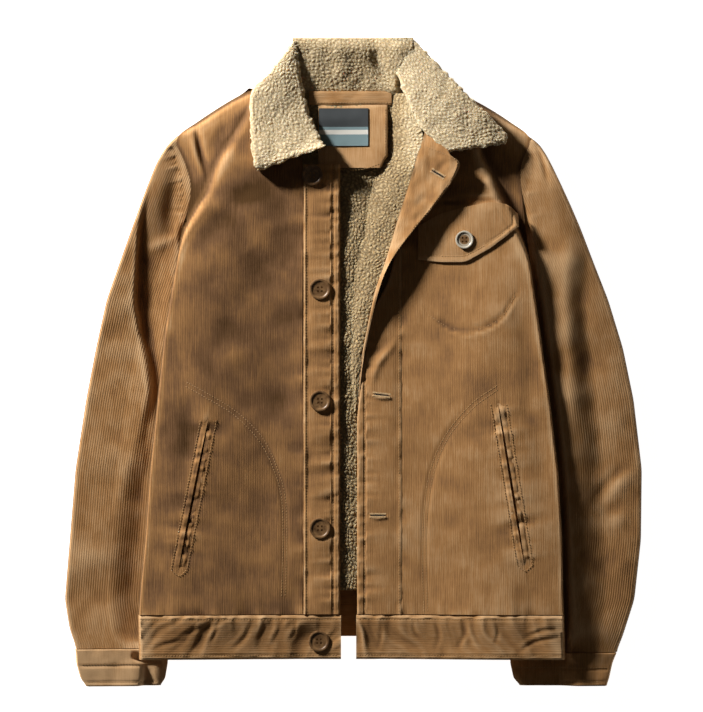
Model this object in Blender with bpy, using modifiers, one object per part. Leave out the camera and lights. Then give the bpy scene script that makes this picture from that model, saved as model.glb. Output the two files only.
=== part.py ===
# A hip-length corduroy jacket with a pile collar, laid flat on its back with its front open.
# The neck lies towards +Y, the wearer's right side towards -X, and the jacket rests on z = 0.
# Sizes are in millimetres: x from the centre front, y up from the front hem, z up from the surface.
from collections import namedtuple
import math

import bmesh
import bpy
import numpy as np
from mathutils import Vector
from mathutils.bvhtree import BVHTree

MM = 0.001

# Driving dimensions
SEAM_GAP = 0.3          # between pieces that are sewn together
LYING_GAP = 0.8         # under a piece that lies on a panel
HEM_GAP = 1.2           # at the waistband seam, where both walls tilt
CLOTH = 2.0             # corduroy wall
BAND_WALL = 4.0         # waistband, two layers of corduroy
PLACKET_WALL = 3.0      # button and buttonhole bands
BACK_PILE = 9.0         # pile lining on the back
FRONT_PILE = 6.0        # pile lining under the fronts
COLLAR_PILE = 4.5       # collar wings, pressed where they lie on the fronts
STRIP_PILE = 3.0        # pile strip inside the turned lapel
STACK = 27.0            # back, linings and front, lying on each other
SIDE_RISE = 16.0        # how far the sleeves lift the sides of the body
ARMHOLE_LEVEL = 17.0    # height of the front and the sleeve at the armhole seam
HEM_DROP = 5.0          # the front hem lies lower, past the end of the linings
BACK_BRIDGE = 26.0      # how far from a sleeve the back begins to climb it
FRONT_BRIDGE = 115.0    # and the front, which the linings hold up
FRONT_RISE = 7.0        # how far the front climbs towards a sleeve
FRONT_SAG = 5.0         # how far the front sinks towards its open edge
FOLD_RADIUS = 6.0       # roll of the cloth at the side folds
SHOULDER_ROLL = 14.0    # and at the shoulders
FOLD_FOOT = CLOTH + LYING_GAP + CLOTH
SLEEVE_HEIGHT = 20.0    # a sleeve beside the body
SLEEVE_PRESSED = 12.0   # a sleeve under the body
SLEEVE_ROLL = 6.0       # roll of the cloth at a sleeve's outer fold
SLEEVE_INNER_ROLL = 12.0
UNDERARM_Y = 556.0
ARMHOLE_FOOT_Y = 495.0  # below this the side fold lies right down on the sleeve
HEM_Y = 54.0            # seam of front and waistband
BACK_HEM_Y = 84.0       # seam of back and waistband, which lies higher
BACK_BAND_END_Y = 27.0
NECK_Y = 691.0
COLLAR_TOP_Y = 758.0
COLLAR_BACK_HEIGHT = 12.0
COLLAR_STAND = 8.0      # how far the back collar stands up at its top edge
COLLAR_BACK_RIGHT = -60.0   # where the back collar turns into the right wing
COLLAR_BACK_LEFT = 55.0     # and into the left wing
BUTTON_DIAMETER = 25.5
CHEST_BUTTON_DIAMETER = 22.0
BUTTON_HEIGHT = 3.0
WELT_WIDTH = 10.5
LINING_MARGIN = 20.0    # between a side fold and the lining under a front

# Half of the body at one height: outer edge, foot of the side fold and front panel's inner seam
BodyRow = namedtuple("BodyRow", "y right_outer right_fold right_inner left_inner left_fold left_outer")
BODY = [
    BodyRow(697, -119, -114, -98, 104, 115, 122),
    BodyRow(683, -146, -121, -89, 99, 130, 152),
    BodyRow(667, -171, -128, -80, 94, 145, 180),
    BodyRow(650, -196, -137, -72, 88, 151, 205),
    BodyRow(636, -215, -146, -66, 85, 156, 223),
    BodyRow(603, -200, -165, -57, 78, 170, 208),
    BodyRow(578, -193, -176, -57, 73, 183, 208),
    BodyRow(554, -196, -188, -57, 68, 195, 211),
    BodyRow(526, -205, -203, -57, 63, 207, 214),
    BodyRow(484, -212, -212, -57, 63, 220, 220),
    BodyRow(401, -226, -226, -57, 63, 232, 232),
    BodyRow(316, -235, -235, -57, 63, 244, 244),
    BodyRow(231, -244, -244, -57, 63, 254, 254),
    BodyRow(145, -250, -250, -57, 63, 259, 259),
    BodyRow(84, -256, -256, -57, 63, 260, 260),
    BodyRow(54, -258, -258, -57, 63, 261, 261),
    BodyRow(0, -257, -257, -57, 63, 262, 262),
]

# A sleeve at one height: its outer fold and its inner edge, which passes under the body
SleeveRow = namedtuple("SleeveRow", "y outer inner")
SLEEVE_RIGHT = [
    SleeveRow(632, -219, -214.5), SleeveRow(618, -230, -207.6), SleeveRow(603, -238, -200.6),
    SleeveRow(578, -248, -193.6),
    SleeveRow(554, -257, -197), SleeveRow(540, -262, -203), SleeveRow(526, -267, -203),
    SleeveRow(484, -282, -198), SleeveRow(438, -298, -198), SleeveRow(379, -311, -199),
    SleeveRow(316, -323, -203), SleeveRow(231, -336, -207), SleeveRow(145, -343, -213),
    SleeveRow(72, -349, -218), SleeveRow(35, -343, -221), SleeveRow(13, -335, -222),
]
SLEEVE_LEFT = [
    SleeveRow(632, 229, 222.5), SleeveRow(618, 239, 215.6), SleeveRow(603, 247, 208.6),
    SleeveRow(578, 259, 208.6),
    SleeveRow(554, 270, 212), SleeveRow(540, 276, 215.5), SleeveRow(526, 282, 212.5),
    SleeveRow(484, 298, 210), SleeveRow(438, 316, 207), SleeveRow(379, 334, 204),
    SleeveRow(316, 347, 201), SleeveRow(231, 357, 198), SleeveRow(145, 356, 196),
    SleeveRow(72, 348, 196), SleeveRow(28, 334, 196), SleeveRow(8, 326, 196),
]
CUFF_RIGHT = [SleeveRow(12, -336, -222), SleeveRow(-6, -335, -223), SleeveRow(-24, -330, -226),
              SleeveRow(-33, -323, -232)]
CUFF_LEFT = [SleeveRow(7, 326, 196), SleeveRow(-6, 321, 196), SleeveRow(-24, 317, 200),
             SleeveRow(-33, 314, 208)]

# The largest folds, as soft lines from one end to the other; a negative height is a trough
Fold = namedtuple("Fold", "x0 y0 x1 y1 width height")
FRONT_FOLDS = [
    Fold(-128, 575, -96, 430, 42, -3.0),
    Fold(-105, 330, -95, 120, 40, -2.0),
    Fold(150, 450, 160, 330, 40, 2.0),
    Fold(166, 604, 174, 586, 10, 2.0),
]
SLEEVE_FOLDS = [
    Fold(-250, 560, -257, 440, 9, -6.0),
    Fold(-257, 440, -242, 365, 9, -6.0),
    Fold(282, 430, 288, 100, 14, -3.0),
    Fold(262, 500, 263, 330, 12, 2.0),
]

# Buttonhole band's free edge, which rolls back under the lapel at its upper end
EdgeRow = namedtuple("EdgeRow", "y edge")
PLACKET_LEFT_EDGE = [
    EdgeRow(515, 59), EdgeRow(484, 53), EdgeRow(462, 47), EdgeRow(438, 35), EdgeRow(426, 27),
    EdgeRow(389, 19.5), EdgeRow(340, 13.4), EdgeRow(292, 8.5), EdgeRow(231, 8.5), EdgeRow(145, 8.5),
    EdgeRow(84, 8.5), EdgeRow(HEM_Y + HEM_GAP, 8.5),
]
PLACKET_RIGHT_EDGE = -12.0
PLACKET_RIGHT_SEAM = -57.0
PLACKET_LEFT_SEAM = 63.0
BAND_INNER_RIGHT = -11.0
BAND_INNER_LEFT = 7.5

# A free piece at one section, from its edge a to its edge b, with the height of its upper face
Section = namedtuple("Section", "ax ay az bx by bz")
WING_RIGHT = [
    Section(-71, 754, 14, -64, 754, 17), Section(-95, 721, 25, -64, 728, 23),
    Section(-120, 688, 32, -58, 700, 25), Section(-121, 645, 35, -49, 664, 26),
    Section(-118, 609, 38, -35, 633, 33), Section(-112, 594, 38, -30, 625, 43),
]
WING_LEFT = [
    Section(57, 757, 20, 76, 758, 21), Section(60, 724, 23, 112, 720, 29),
    Section(69, 690, 28, 148, 682, 33), Section(78, 664, 33, 172, 659, 34),
    Section(93, 642, 37, 191, 638, 32), Section(119, 617, 42, 188, 628, 31),
]
LAPEL_STRIP = [
    Section(53, 662, 15.5, 80, 656, 27), Section(49, 625, 15.5, 87, 634, 33),
    Section(47, 597, 15.5, 78.6, 606, 34), Section(28, 572, 16, 70, 576, 33),
    Section(16, 530, 16.8, 59, 542, 32), Section(7, 490, 17.8, 49.2, 508, 32),
    Section(2, 450, 17.6, 40.6, 480, 32), Section(0, 415, 17.2, 30, 450, 31),
    Section(0, 385, 16.8, 22, 414, 28), Section(2, 350, 16.4, 13, 365, 24),
]
LAPEL_FACING = [
    Section(88.4, 632, 36, 118, 613, 44), Section(79.4, 606, 36, 133, 601, 44),
    Section(70.8, 576, 35, 116, 570, 42), Section(59.8, 542, 34, 89, 536, 41),
    Section(50, 508, 34, 62, 503, 41), Section(41.4, 480, 34, 46, 478, 41),
    Section(30.9, 450, 33, 35, 449, 37), Section(22.9, 414, 30, 26, 413, 32),
]
# The chest flap at one place along it: top and bottom edge
FlapRow = namedtuple("FlapRow", "x top bottom")
CHEST_FLAP = [FlapRow(83, 528, 487), FlapRow(110, 543, 484), FlapRow(140, 551, 484),
              FlapRow(171, 557, 501), FlapRow(193, 554, 518), FlapRow(205, 541, 528)]
# Slit of each hand pocket, from its top to its bottom
Slit = namedtuple("Slit", "x0 y0 x1 y1")
SLIT_RIGHT = Slit(-172, 292, -208, 110)
SLIT_LEFT = Slit(180, 312, 212, 116)
FRONT_BUTTONS = [(-46, 590), (-36.6, 451), (-36.6, 315), (-36.6, 160), (-37.8, 22)]
CHEST_BUTTON = (139, 511)

CORDUROY = ("tan corduroy", (0.33, 0.17, 0.075), 0.9, 0.0)
PILE = ("cream pile", (0.6, 0.47, 0.3), 0.95, 0.0)
HORN = ("brown horn", (0.1, 0.05, 0.022), 0.3, 0.0)
PALE_HORN = ("pale horn", (0.55, 0.46, 0.34), 0.3, 0.0)
SLATE_CLOTH = ("slate label cloth", (0.05, 0.065, 0.07), 0.8, 0.0)


def clear_scene():
    for old in list(bpy.data.objects):
        bpy.data.objects.remove(old, do_unlink=True)


def ease(t):
    t = min(max(t, 0.0), 1.0)
    return t * t * (3.0 - 2.0 * t)


def roll(distance, radius):
    return math.sin(0.5 * math.pi * min(max(distance / radius, 0.0), 1.0))


def column(rows, name, y):
    """Value of one table column at height y."""
    return float(np.interp(-y, [-row.y for row in rows], [getattr(row, name) for row in rows]))


def line_distance(x, y, x0, y0, x1, y1):
    """Distance from a point to a straight stretch."""
    dx, dy = x1 - x0, y1 - y0
    t = min(max(((x - x0) * dx + (y - y0) * dy) / (dx * dx + dy * dy), 0.0), 1.0)
    return math.hypot(x - x0 - t * dx, y - y0 - t * dy)


def fold_height(folds, x, y):
    return sum(f.height * math.exp(-(line_distance(x, y, f.x0, f.y0, f.x1, f.y1) / f.width) ** 2)
               for f in folds)


def over_sleeve(x, y, bridge):
    """How far the cloth has climbed a sleeve, beginning one bridge's width before the sleeve's edge."""
    inner = column(SLEEVE_RIGHT if x < 0 else SLEEVE_LEFT, "inner", y)
    past_edge = 8.0
    rise_top_y = 580.0
    rise_length = 30.0
    climbed = ease((abs(x) - abs(inner) + bridge) / (bridge + past_edge))
    return climbed * ease((rise_top_y - y) / rise_length)


def back_height(x, y):
    """Underside of the back: flat on the surface, lifted where a sleeve lies under it."""
    return SIDE_RISE * over_sleeve(x, y, BACK_BRIDGE)


def shoulder_distance(x, y):
    side = "right_outer" if x < 0 else "left_outer"
    points = [(getattr(row, side), row.y) for row in BODY[:5]]
    return min(line_distance(x, y, *a, *b) for a, b in zip(points, points[1:]))


def front_height(x, y):
    """Upper face of a front: on the stack, rolled down at the side fold, low at the armhole."""
    fold_x = column(BODY, "right_fold" if x < 0 else "left_fold", y)
    inside = abs(fold_x) - abs(x)
    drop_top_y = HEM_Y + 6.0
    drop_length = 50.0
    armhole_length = 45.0
    sag_start = 30.0
    sag_width = 130.0
    point_y = 634.0
    point_length = 24.0
    sag = FRONT_SAG * (1.0 - ease((abs(x) - sag_start) / sag_width))
    drop = HEM_DROP * ease((drop_top_y - y) / drop_length)
    top = STACK + FRONT_RISE * over_sleeve(x, y, FRONT_BRIDGE) - sag - drop
    at_armhole = ease((y - ARMHOLE_FOOT_Y) / armhole_length)
    foot = min(top, max(back_height(x, y) + FOLD_FOOT, ARMHOLE_LEVEL * at_armhole))
    rolled = roll(inside, FOLD_RADIUS + (SHOULDER_ROLL - FOLD_RADIUS) * at_armhole)
    height = foot + (top - foot) * rolled + fold_height(FRONT_FOLDS, x, y) * rolled
    shoulder = (1.0 - roll(shoulder_distance(x, y), SHOULDER_ROLL)) * ease((y - point_y) / point_length)
    return height + (FOLD_FOOT - height) * shoulder


def sleeve_height(rows, x, y):
    """Upper face of a sleeve: full beside the body, pressed flat under it."""
    side = 1.0 if rows[0].outer > 0 else -1.0
    outer = side * column(rows, "outer", y)
    inner = side * column(rows, "inner", y)
    across = side * x
    body_edge = side * column(BODY, "right_outer" if side < 0 else "left_outer", y)
    clear_of_body = 8.0
    free_slope = 14.0
    hem_sink = 5.0
    hem_sink_top_y = 10.0
    hem_sink_length = 14.0
    cap_slope = 45.0
    underarm_top_y = UNDERARM_Y + 10.0
    underarm_length = 40.0
    free = ease((across - body_edge - clear_of_body) / free_slope)
    pressed = SLEEVE_PRESSED - hem_sink * ease((hem_sink_top_y - y) / hem_sink_length)
    beside = pressed + (SLEEVE_HEIGHT - pressed) * free
    cap = ARMHOLE_LEVEL + (SLEEVE_HEIGHT - ARMHOLE_LEVEL) * ease((across - inner) / cap_slope)
    below = ease((underarm_top_y - y) / underarm_length)
    top = cap * (1.0 - below) + beside * below
    inner_roll = 1.0 - below + below * roll(across - inner, SLEEVE_INNER_ROLL)
    rolled = roll(outer - across, SLEEVE_ROLL) * inner_roll
    return FOLD_FOOT + (top + fold_height(SLEEVE_FOLDS, x, y) * free - FOLD_FOOT) * rolled


def material(finish):
    name, colour, roughness, metallic = finish
    made = bpy.data.materials.get(name)
    if made is None:
        made = bpy.data.materials.new(name)
        made.use_nodes = True
        shader = made.node_tree.nodes["Principled BSDF"]
        shader.inputs["Base Color"].default_value = (*colour, 1.0)
        shader.inputs["Roughness"].default_value = roughness
        shader.inputs["Metallic"].default_value = metallic
    return made


def add_object(name, mesh, finish):
    made = bpy.data.objects.new(name, mesh)
    mesh.materials.append(material(finish))
    jacket.objects.link(made)
    return made


def sheet(name, rows, wall, finish, upward=False, closed=False):
    """A cloth wall under or on a grid of points: rows run from the neck down, columns from -X to +X."""
    across = len(rows[0]) - 1
    grid = bmesh.new()
    bmesh.ops.create_grid(grid, x_segments=across, y_segments=len(rows) - 1, size=1.0)
    grid.verts.ensure_lookup_table()
    for index, point in enumerate(point for row in reversed(rows) for point in row):
        grid.verts[index].co = Vector(point) * MM
    if closed:
        bmesh.ops.remove_doubles(grid, verts=grid.verts, dist=1e-6)
    mesh = bpy.data.meshes.new(name)
    grid.to_mesh(mesh)
    grid.free()
    made = add_object(name, mesh, finish)
    thick = made.modifiers.new("wall", "SOLIDIFY")
    thick.thickness = wall * MM
    thick.offset = 1.0 if upward else -1.0
    return made


def spread(start, end, count):
    return [float(v) for v in np.linspace(start, end, count)]


def front_columns(row, side):
    """Places across a front from its outer edge to its inner seam, close together at the side fold."""
    outer, fold, inner = (abs(getattr(row, f"{side}_{name}")) for name in ("outer", "fold", "inner"))
    low = outer - fold
    width = outer - inner
    near = [0.0, 0.5 * low + 1.0, low + 2.0, low + 4.0, low + FOLD_RADIUS, low + LINING_MARGIN]
    squeeze = min(1.0, width / (low + LINING_MARGIN + 6.0))
    near = [value * squeeze for value in near]
    return [outer - value for value in near + spread(near[-1], width, 6)[1:]]


def front_points(side):
    sign = -1.0 if side == "right" else 1.0
    rows = []
    for row in BODY[:-1]:
        y = max(row.y, HEM_Y + HEM_GAP)
        places = [sign * value for value in front_columns(row, side)]
        rows.append([(x, y, front_height(x, y)) for x in sorted(places)])
    return rows


def moved(points, lift):
    return [[(x, y, z + lift) for x, y, z in row] for row in points]


def make_fronts():
    lining_depth = CLOTH + LYING_GAP
    first_lined_row = 4
    for side in ("right", "left"):
        points = front_points(side)
        sheet(f"front_{side}", points, CLOTH, CORDUROY)
        lined = slice(1, -5) if side == "left" else slice(5, -1)
        rows = [row[lined] for row in points[first_lined_row:]]
        sheet(f"front_lining_{side}", moved(rows, -lining_depth), FRONT_PILE, PILE)


def make_plackets():
    rows = []
    for row in BODY[5:-1]:
        y = max(row.y, HEM_Y + HEM_GAP)
        places = spread(PLACKET_RIGHT_SEAM + SEAM_GAP, PLACKET_RIGHT_EDGE, 4)
        rows.append([(x, y, front_height(x, y)) for x in places])
    sheet("placket_right", rows, PLACKET_WALL, CORDUROY)
    rows = []
    for row in PLACKET_LEFT_EDGE:
        places = spread(row.edge, PLACKET_LEFT_SEAM - SEAM_GAP, 4)
        rows.append([(x, row.y, front_height(x, row.y)) for x in places])
    sheet("placket_left", rows, PLACKET_WALL, CORDUROY)


def back_points(y):
    """Places across the back at one height, close together where it climbs over the sleeves."""
    steps = [0.0, 6.0, 14.0, 24.0, 40.0, 66.0, 100.0]
    right = column(BODY, "right_outer", y)
    left = column(BODY, "left_outer", y)
    squeeze = min(1.0, (left - right) / 220.0)
    places = [right + step * squeeze for step in steps] + [0.5 * (left + right)]
    places += [left - step * squeeze for step in reversed(steps)]
    return [(x, y, back_height(x, y)) for x in places]


def make_back():
    inset = slice(5, -5)
    heights = [NECK_Y] + [row.y for row in BODY[1:-2]]
    points = [back_points(y) for y in heights]
    sheet("back", moved(points, CLOTH), CLOTH, CORDUROY)
    lined = [row[inset] for row in points]
    sheet("back_lining", moved(lined, CLOTH + SEAM_GAP), BACK_PILE, PILE, upward=True)
    band = [back_points(y)[1:-1] for y in spread(BACK_HEM_Y - SEAM_GAP, BACK_BAND_END_Y, 3)]
    sheet("waistband_back", moved(band, BAND_WALL), BAND_WALL, CORDUROY)
    return CLOTH + SEAM_GAP + BACK_PILE


def make_front_bands():
    near = [0.0, 1.0, 2.5, 4.0, FOLD_RADIUS]
    for side, inner in (("right", BAND_INNER_RIGHT), ("left", BAND_INNER_LEFT)):
        rows = []
        for y in spread(HEM_Y, 0.0, 4):
            outer = column(BODY, f"{side}_outer", y)
            sign = math.copysign(1.0, outer)
            places = [outer - sign * step for step in near]
            places += spread(places[-1], inner, 7)[1:]
            rows.append([(x, y, front_height(x, y)) for x in sorted(places)])
        sheet(f"waistband_{side}", rows, BAND_WALL, CORDUROY)


def make_sleeves():
    parts = [0.0, 0.015, 0.04, 0.08, 0.2, 0.34, 0.48, 0.6, 0.72, 0.84, 0.93, 1.0]
    for side, table in (("right", SLEEVE_RIGHT), ("left", SLEEVE_LEFT)):
        upper = []
        under = []
        for row in table:
            places = sorted(row.outer + (row.inner - row.outer) * part for part in parts)
            upper.append([(x, row.y, sleeve_height(table, x, row.y)) for x in places])
            under.append([(x, row.y, CLOTH) for x in places[::2] + places[-1:]])
        sheet(f"sleeve_{side}_upper", upper, CLOTH, CORDUROY)
        sheet(f"sleeve_{side}_under", under, CLOTH, CORDUROY)


def make_cuffs():
    parts = [0.0, 0.05, 0.13, 0.25, 0.45, 0.65, 0.82, 0.93, 1.0]
    parts_under = [0.985, 0.7, 0.3, 0.015]
    for side, table, sleeve in (("right", CUFF_RIGHT, SLEEVE_RIGHT), ("left", CUFF_LEFT, SLEEVE_LEFT)):
        rows = []
        for row in table:
            low, high = sorted((row.outer, row.inner))
            width = high - low
            shaped = [low + width * part for part in parts]
            sleeve_end = sleeve[-1]
            stretch = (sleeve_end.outer - sleeve_end.inner) / (row.outer - row.inner)
            ring = []
            for x in shaped:
                along = sleeve_end.inner + (x - row.inner) * stretch
                ring.append((x, row.y, sleeve_height(sleeve, along, row.y) + 1.0))
            ring += [(low + width * part, row.y, 0.0) for part in parts_under]
            rows.append(ring + ring[:1])
        sheet(f"cuff_{side}", rows, CLOTH, CORDUROY, closed=True)


def make_free_piece(name, table, wall, finish, crown, count=6):
    """A piece held up by its own stiffness: straight across each section, with a soft crown."""
    rows = []
    for s in table:
        parts = spread(0.0, 1.0, count)
        rows.append([(s.ax + (s.bx - s.ax) * t, s.ay + (s.by - s.ay) * t,
                      s.az + (s.bz - s.az) * t + crown * math.sin(math.pi * t)) for t in parts])
    sheet(name, rows, wall, finish)


def make_collar():
    rows = []
    edge_drop = 5.0
    edge_roll = 14.0
    turn_start = 28.0
    turn_width = 36.0
    turn_height = 7.0
    depth = COLLAR_TOP_Y - NECK_Y - HEM_GAP
    for down in (0.0, 5.0, 16.0, 38.0, depth):
        stand = COLLAR_STAND * (1.0 - down / depth)
        height = COLLAR_BACK_HEIGHT + stand - edge_drop * (1.0 - roll(down, edge_roll))
        places = spread(COLLAR_BACK_RIGHT, COLLAR_BACK_LEFT, 8)
        rows.append([(x, COLLAR_TOP_Y - down, height + turn_height * ease((x - turn_start) / turn_width))
                     for x in places])
    sheet("collar_back", rows, COLLAR_BACK_HEIGHT - edge_drop, PILE)
    wing_crown = 3.0
    make_free_piece("collar_wing_right", WING_RIGHT, COLLAR_PILE, PILE, wing_crown)
    make_free_piece("collar_wing_left", WING_LEFT, COLLAR_PILE, PILE, wing_crown)
    make_free_piece("lapel_strip", LAPEL_STRIP, STRIP_PILE, PILE, 0.0, 4)
    make_free_piece("lapel_facing", LAPEL_FACING, PLACKET_WALL, CORDUROY, 0.0, 4)


def flat_piece(name, x0, x1, y0, y1, top, wall, finish):
    rows = [[(x, y, top) for x in spread(x0, x1, 3)] for y in spread(y1, y0, 3)]
    sheet(name, rows, wall, finish)


def make_neck(lining_top):
    strip_top = lining_top + SEAM_GAP + CLOTH
    flat_piece("neck_strip", -50.0, 52.0, 676.0 + SEAM_GAP, 690.0, strip_top, CLOTH, CORDUROY)
    flat_piece("hanger_patch", -39.0, 46.0, 597.0, 676.0, strip_top, CLOTH, CORDUROY)
    label_wall = 1.0
    flat_piece("neck_label", -38.0, 22.0, 626.0, 672.0, strip_top + SEAM_GAP + label_wall,
               label_wall, SLATE_CLOTH)


def surface(name):
    """The evaluated face of a panel, for the pieces that lie on it."""
    depsgraph = bpy.context.evaluated_depsgraph_get()
    return BVHTree.FromObject(bpy.data.objects[name], depsgraph)


def drop(tree, x, y):
    high = 0.2
    hit = tree.ray_cast(Vector((x * MM, y * MM, high)), Vector((0.0, 0.0, -1.0)))[0]
    return hit.z / MM if hit else 0.0


def clear_height(tree, x, y, reach):
    """Highest point of a panel around a place, so that a stiff piece bridges its folds."""
    around = [(0.0, 0.0), (reach, 0.0), (-reach, 0.0), (0.0, reach), (0.0, -reach)]
    return max(drop(tree, x + dx, y + dy) for dx, dy in around) + LYING_GAP


def make_chest_flap():
    front = surface("front_left")
    wall = 2.2
    reach = 8.0
    xs = [flap.x for flap in CHEST_FLAP]
    rows = []
    for part in spread(0.0, 1.0, 6):
        row = []
        for x in spread(xs[0], xs[-1], 11):
            top = float(np.interp(x, xs, [flap.top for flap in CHEST_FLAP]))
            bottom = float(np.interp(x, xs, [flap.bottom for flap in CHEST_FLAP]))
            y = top + (bottom - top) * part
            row.append((x, y, clear_height(front, x, y, reach)))
        rows.append(row)
    sheet("chest_flap", rows, wall, CORDUROY, upward=True)


def make_welts():
    wall = 1.8
    reach = 2.5
    for side, slit in (("right", SLIT_RIGHT), ("left", SLIT_LEFT)):
        front = surface(f"front_{side}")
        for name, start, end in (("west", -WELT_WIDTH, -SEAM_GAP), ("east", SEAM_GAP, WELT_WIDTH)):
            rows = []
            for part in spread(0.0, 1.0, 7):
                x = slit.x0 + (slit.x1 - slit.x0) * part
                y = slit.y0 + (slit.y1 - slit.y0) * part
                row = [(x + away, y) for away in spread(start, end, 3)]
                rows.append([(px, py, clear_height(front, px, py, reach)) for px, py in row])
            sheet(f"pocket_welt_{side}_{name}", rows, wall, CORDUROY, upward=True)


def make_button(name, place, diameter, carrier, finish):
    """A turned disc with a raised rim, lying on the highest point under it."""
    radius = 0.5 * diameter
    x, y = place
    tree = surface(carrier)
    rest = clear_height(tree, x, y, 0.85 * radius)
    profile = [(0.0, 0.62), (0.6, 0.62), (0.76, 1.0), (0.92, 1.0), (1.0, 0.7), (1.0, 0.3),
               (0.86, 0.0), (0.0, 0.0)]
    turned = bmesh.new()
    points = [turned.verts.new((r * radius * MM, 0.0, h * BUTTON_HEIGHT * MM)) for r, h in profile]
    for a, b in zip(points, points[1:]):
        turned.edges.new((a, b))
    mesh = bpy.data.meshes.new(name)
    turned.to_mesh(mesh)
    turned.free()
    made = add_object(name, mesh, finish)
    made.location = Vector((x, y, rest)) * MM
    screw = made.modifiers.new("turned", "SCREW")
    screw.steps = 16
    screw.render_steps = 16
    screw.use_merge_vertices = True
    screw.merge_threshold = 0.00001


def make_buttons():
    for number, place in enumerate(FRONT_BUTTONS, start=1):
        carrier = "placket_right" if place[1] > HEM_Y else "waistband_right"
        make_button(f"button_{number}", place, BUTTON_DIAMETER, carrier, HORN)
    make_button("chest_button", CHEST_BUTTON, CHEST_BUTTON_DIAMETER, "chest_flap", PALE_HORN)


def centre_on_origin():
    """Move the jacket so that the middle of its plan lies on the origin."""
    depsgraph = bpy.context.evaluated_depsgraph_get()
    corners = []
    for piece in jacket.objects:
        shape = piece.evaluated_get(depsgraph)
        corners += [shape.matrix_world @ Vector(corner) for corner in shape.bound_box]
    middle = Vector([0.5 * (min(c[i] for c in corners) + max(c[i] for c in corners)) for i in (0, 1)] + [0.0])
    for piece in jacket.objects:
        piece.location -= middle
    print("centre of the plan, mm:", [round(value / MM, 2) for value in middle])


clear_scene()
jacket = bpy.data.collections.new("corduroy_jacket")
bpy.context.scene.collection.children.link(jacket)
make_fronts()
make_plackets()
pile_top = make_back()
make_front_bands()
make_sleeves()
make_cuffs()
make_collar()
make_neck(pile_top)
make_chest_flap()
make_welts()
make_buttons()
centre_on_origin()
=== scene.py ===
# %% [markdown]
# A corduroy jacket with a nubby pile collar, laid flat on its back and seen from straight above.
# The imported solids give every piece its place. This lesson gives the cloth its wales, creases, seams and
# pile, lights it, and points the camera straight down.

# %% Load the frame
import math
from collections import namedtuple
import bmesh
import bpy
import numpy as np
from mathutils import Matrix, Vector


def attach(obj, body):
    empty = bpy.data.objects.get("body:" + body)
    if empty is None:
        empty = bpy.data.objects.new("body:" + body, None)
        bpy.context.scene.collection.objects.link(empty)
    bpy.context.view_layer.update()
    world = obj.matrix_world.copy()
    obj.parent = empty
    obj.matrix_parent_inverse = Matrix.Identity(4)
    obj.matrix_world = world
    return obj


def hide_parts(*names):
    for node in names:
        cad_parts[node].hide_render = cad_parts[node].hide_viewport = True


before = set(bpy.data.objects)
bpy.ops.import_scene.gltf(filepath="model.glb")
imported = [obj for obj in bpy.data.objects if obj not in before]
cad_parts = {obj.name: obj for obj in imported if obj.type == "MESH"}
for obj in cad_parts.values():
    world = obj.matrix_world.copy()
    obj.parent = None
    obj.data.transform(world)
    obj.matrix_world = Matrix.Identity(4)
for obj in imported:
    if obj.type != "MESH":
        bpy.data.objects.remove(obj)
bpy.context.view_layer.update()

print("solids:", len(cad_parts))

# %% [markdown]
# Garment sizes are in millimetres: x from the centre front, y up from the front hem, z up from the
# surface. The frame is in metres with its origin in the middle of the plan, so every point is moved by
# the same small step on its way into a mesh.

# %% Units and frame
MM = 0.001
PLAN_MIDDLE = np.array([4.0, 362.49, 0.0])


def to_frame(points):
    return (np.asarray(points, float) - PLAN_MIDDLE) * MM


# %% [markdown]
# The camera hangs four metres over the jacket, so that the heights of the cloth hardly spread it, and its
# frame takes in the same width as the picture does: 858 mm for 703 pixels.

# %% Camera
FRAME_WIDTH = 0.8577
CAMERA_HEIGHT = 4.0
CLOTH_LEVEL = 0.016
FRAME_MIDDLE = (1.8, 369.7)


def add_camera():
    place = to_frame([FRAME_MIDDLE[0], FRAME_MIDDLE[1], 0.0])
    bpy.ops.object.camera_add(location=(place[0], place[1], CAMERA_HEIGHT), rotation=(0.0, 0.0, 0.0))
    camera = bpy.context.object
    camera.data.sensor_fit = "HORIZONTAL"
    camera.data.lens = camera.data.sensor_width * (CAMERA_HEIGHT - CLOTH_LEVEL) / FRAME_WIDTH
    camera.data.clip_end = 20.0
    bpy.context.scene.camera = camera
    return camera


bpy.ops.object.select_all(action="DESELECT")
print("lens, mm:", round(add_camera().data.lens, 1))

# %% [markdown]
# The outlines are the pattern pieces as they lie. Each row gives the edges at one height, and a column is
# read between rows with its corners rounded, because cloth has no sharp corners along a fold.

# %% Outlines
def table(kind, *rows):
    return [kind(*row) for row in rows]


BodyRow = namedtuple("BodyRow", "y right_outer right_fold right_inner left_inner left_fold left_outer")
BODY = table(BodyRow,
    (697, -119, -114, -98, 104, 115, 122), (683, -146, -121, -89, 99, 130, 152),
    (667, -171, -128, -80, 94, 145, 180), (650, -196, -137, -72, 88, 151, 205),
    (636, -215, -146, -66, 85, 156, 223), (603, -200, -165, -57, 78, 170, 208),
    (578, -193, -176, -57, 73, 183, 208), (554, -196, -188, -57, 68, 195, 211),
    (526, -205, -203, -57, 63, 207, 214), (484, -212, -212, -57, 63, 220, 220),
    (401, -226, -226, -57, 63, 232, 232), (316, -235, -235, -57, 63, 244, 244),
    (231, -244, -244, -57, 63, 254, 254), (145, -250, -250, -57, 63, 259, 259),
    (84, -256, -256, -57, 63, 260, 260), (54, -258, -258, -57, 63, 261, 261),
    (0, -257, -257, -57, 63, 262, 262))
SleeveRow = namedtuple("SleeveRow", "y outer inner")
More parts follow.
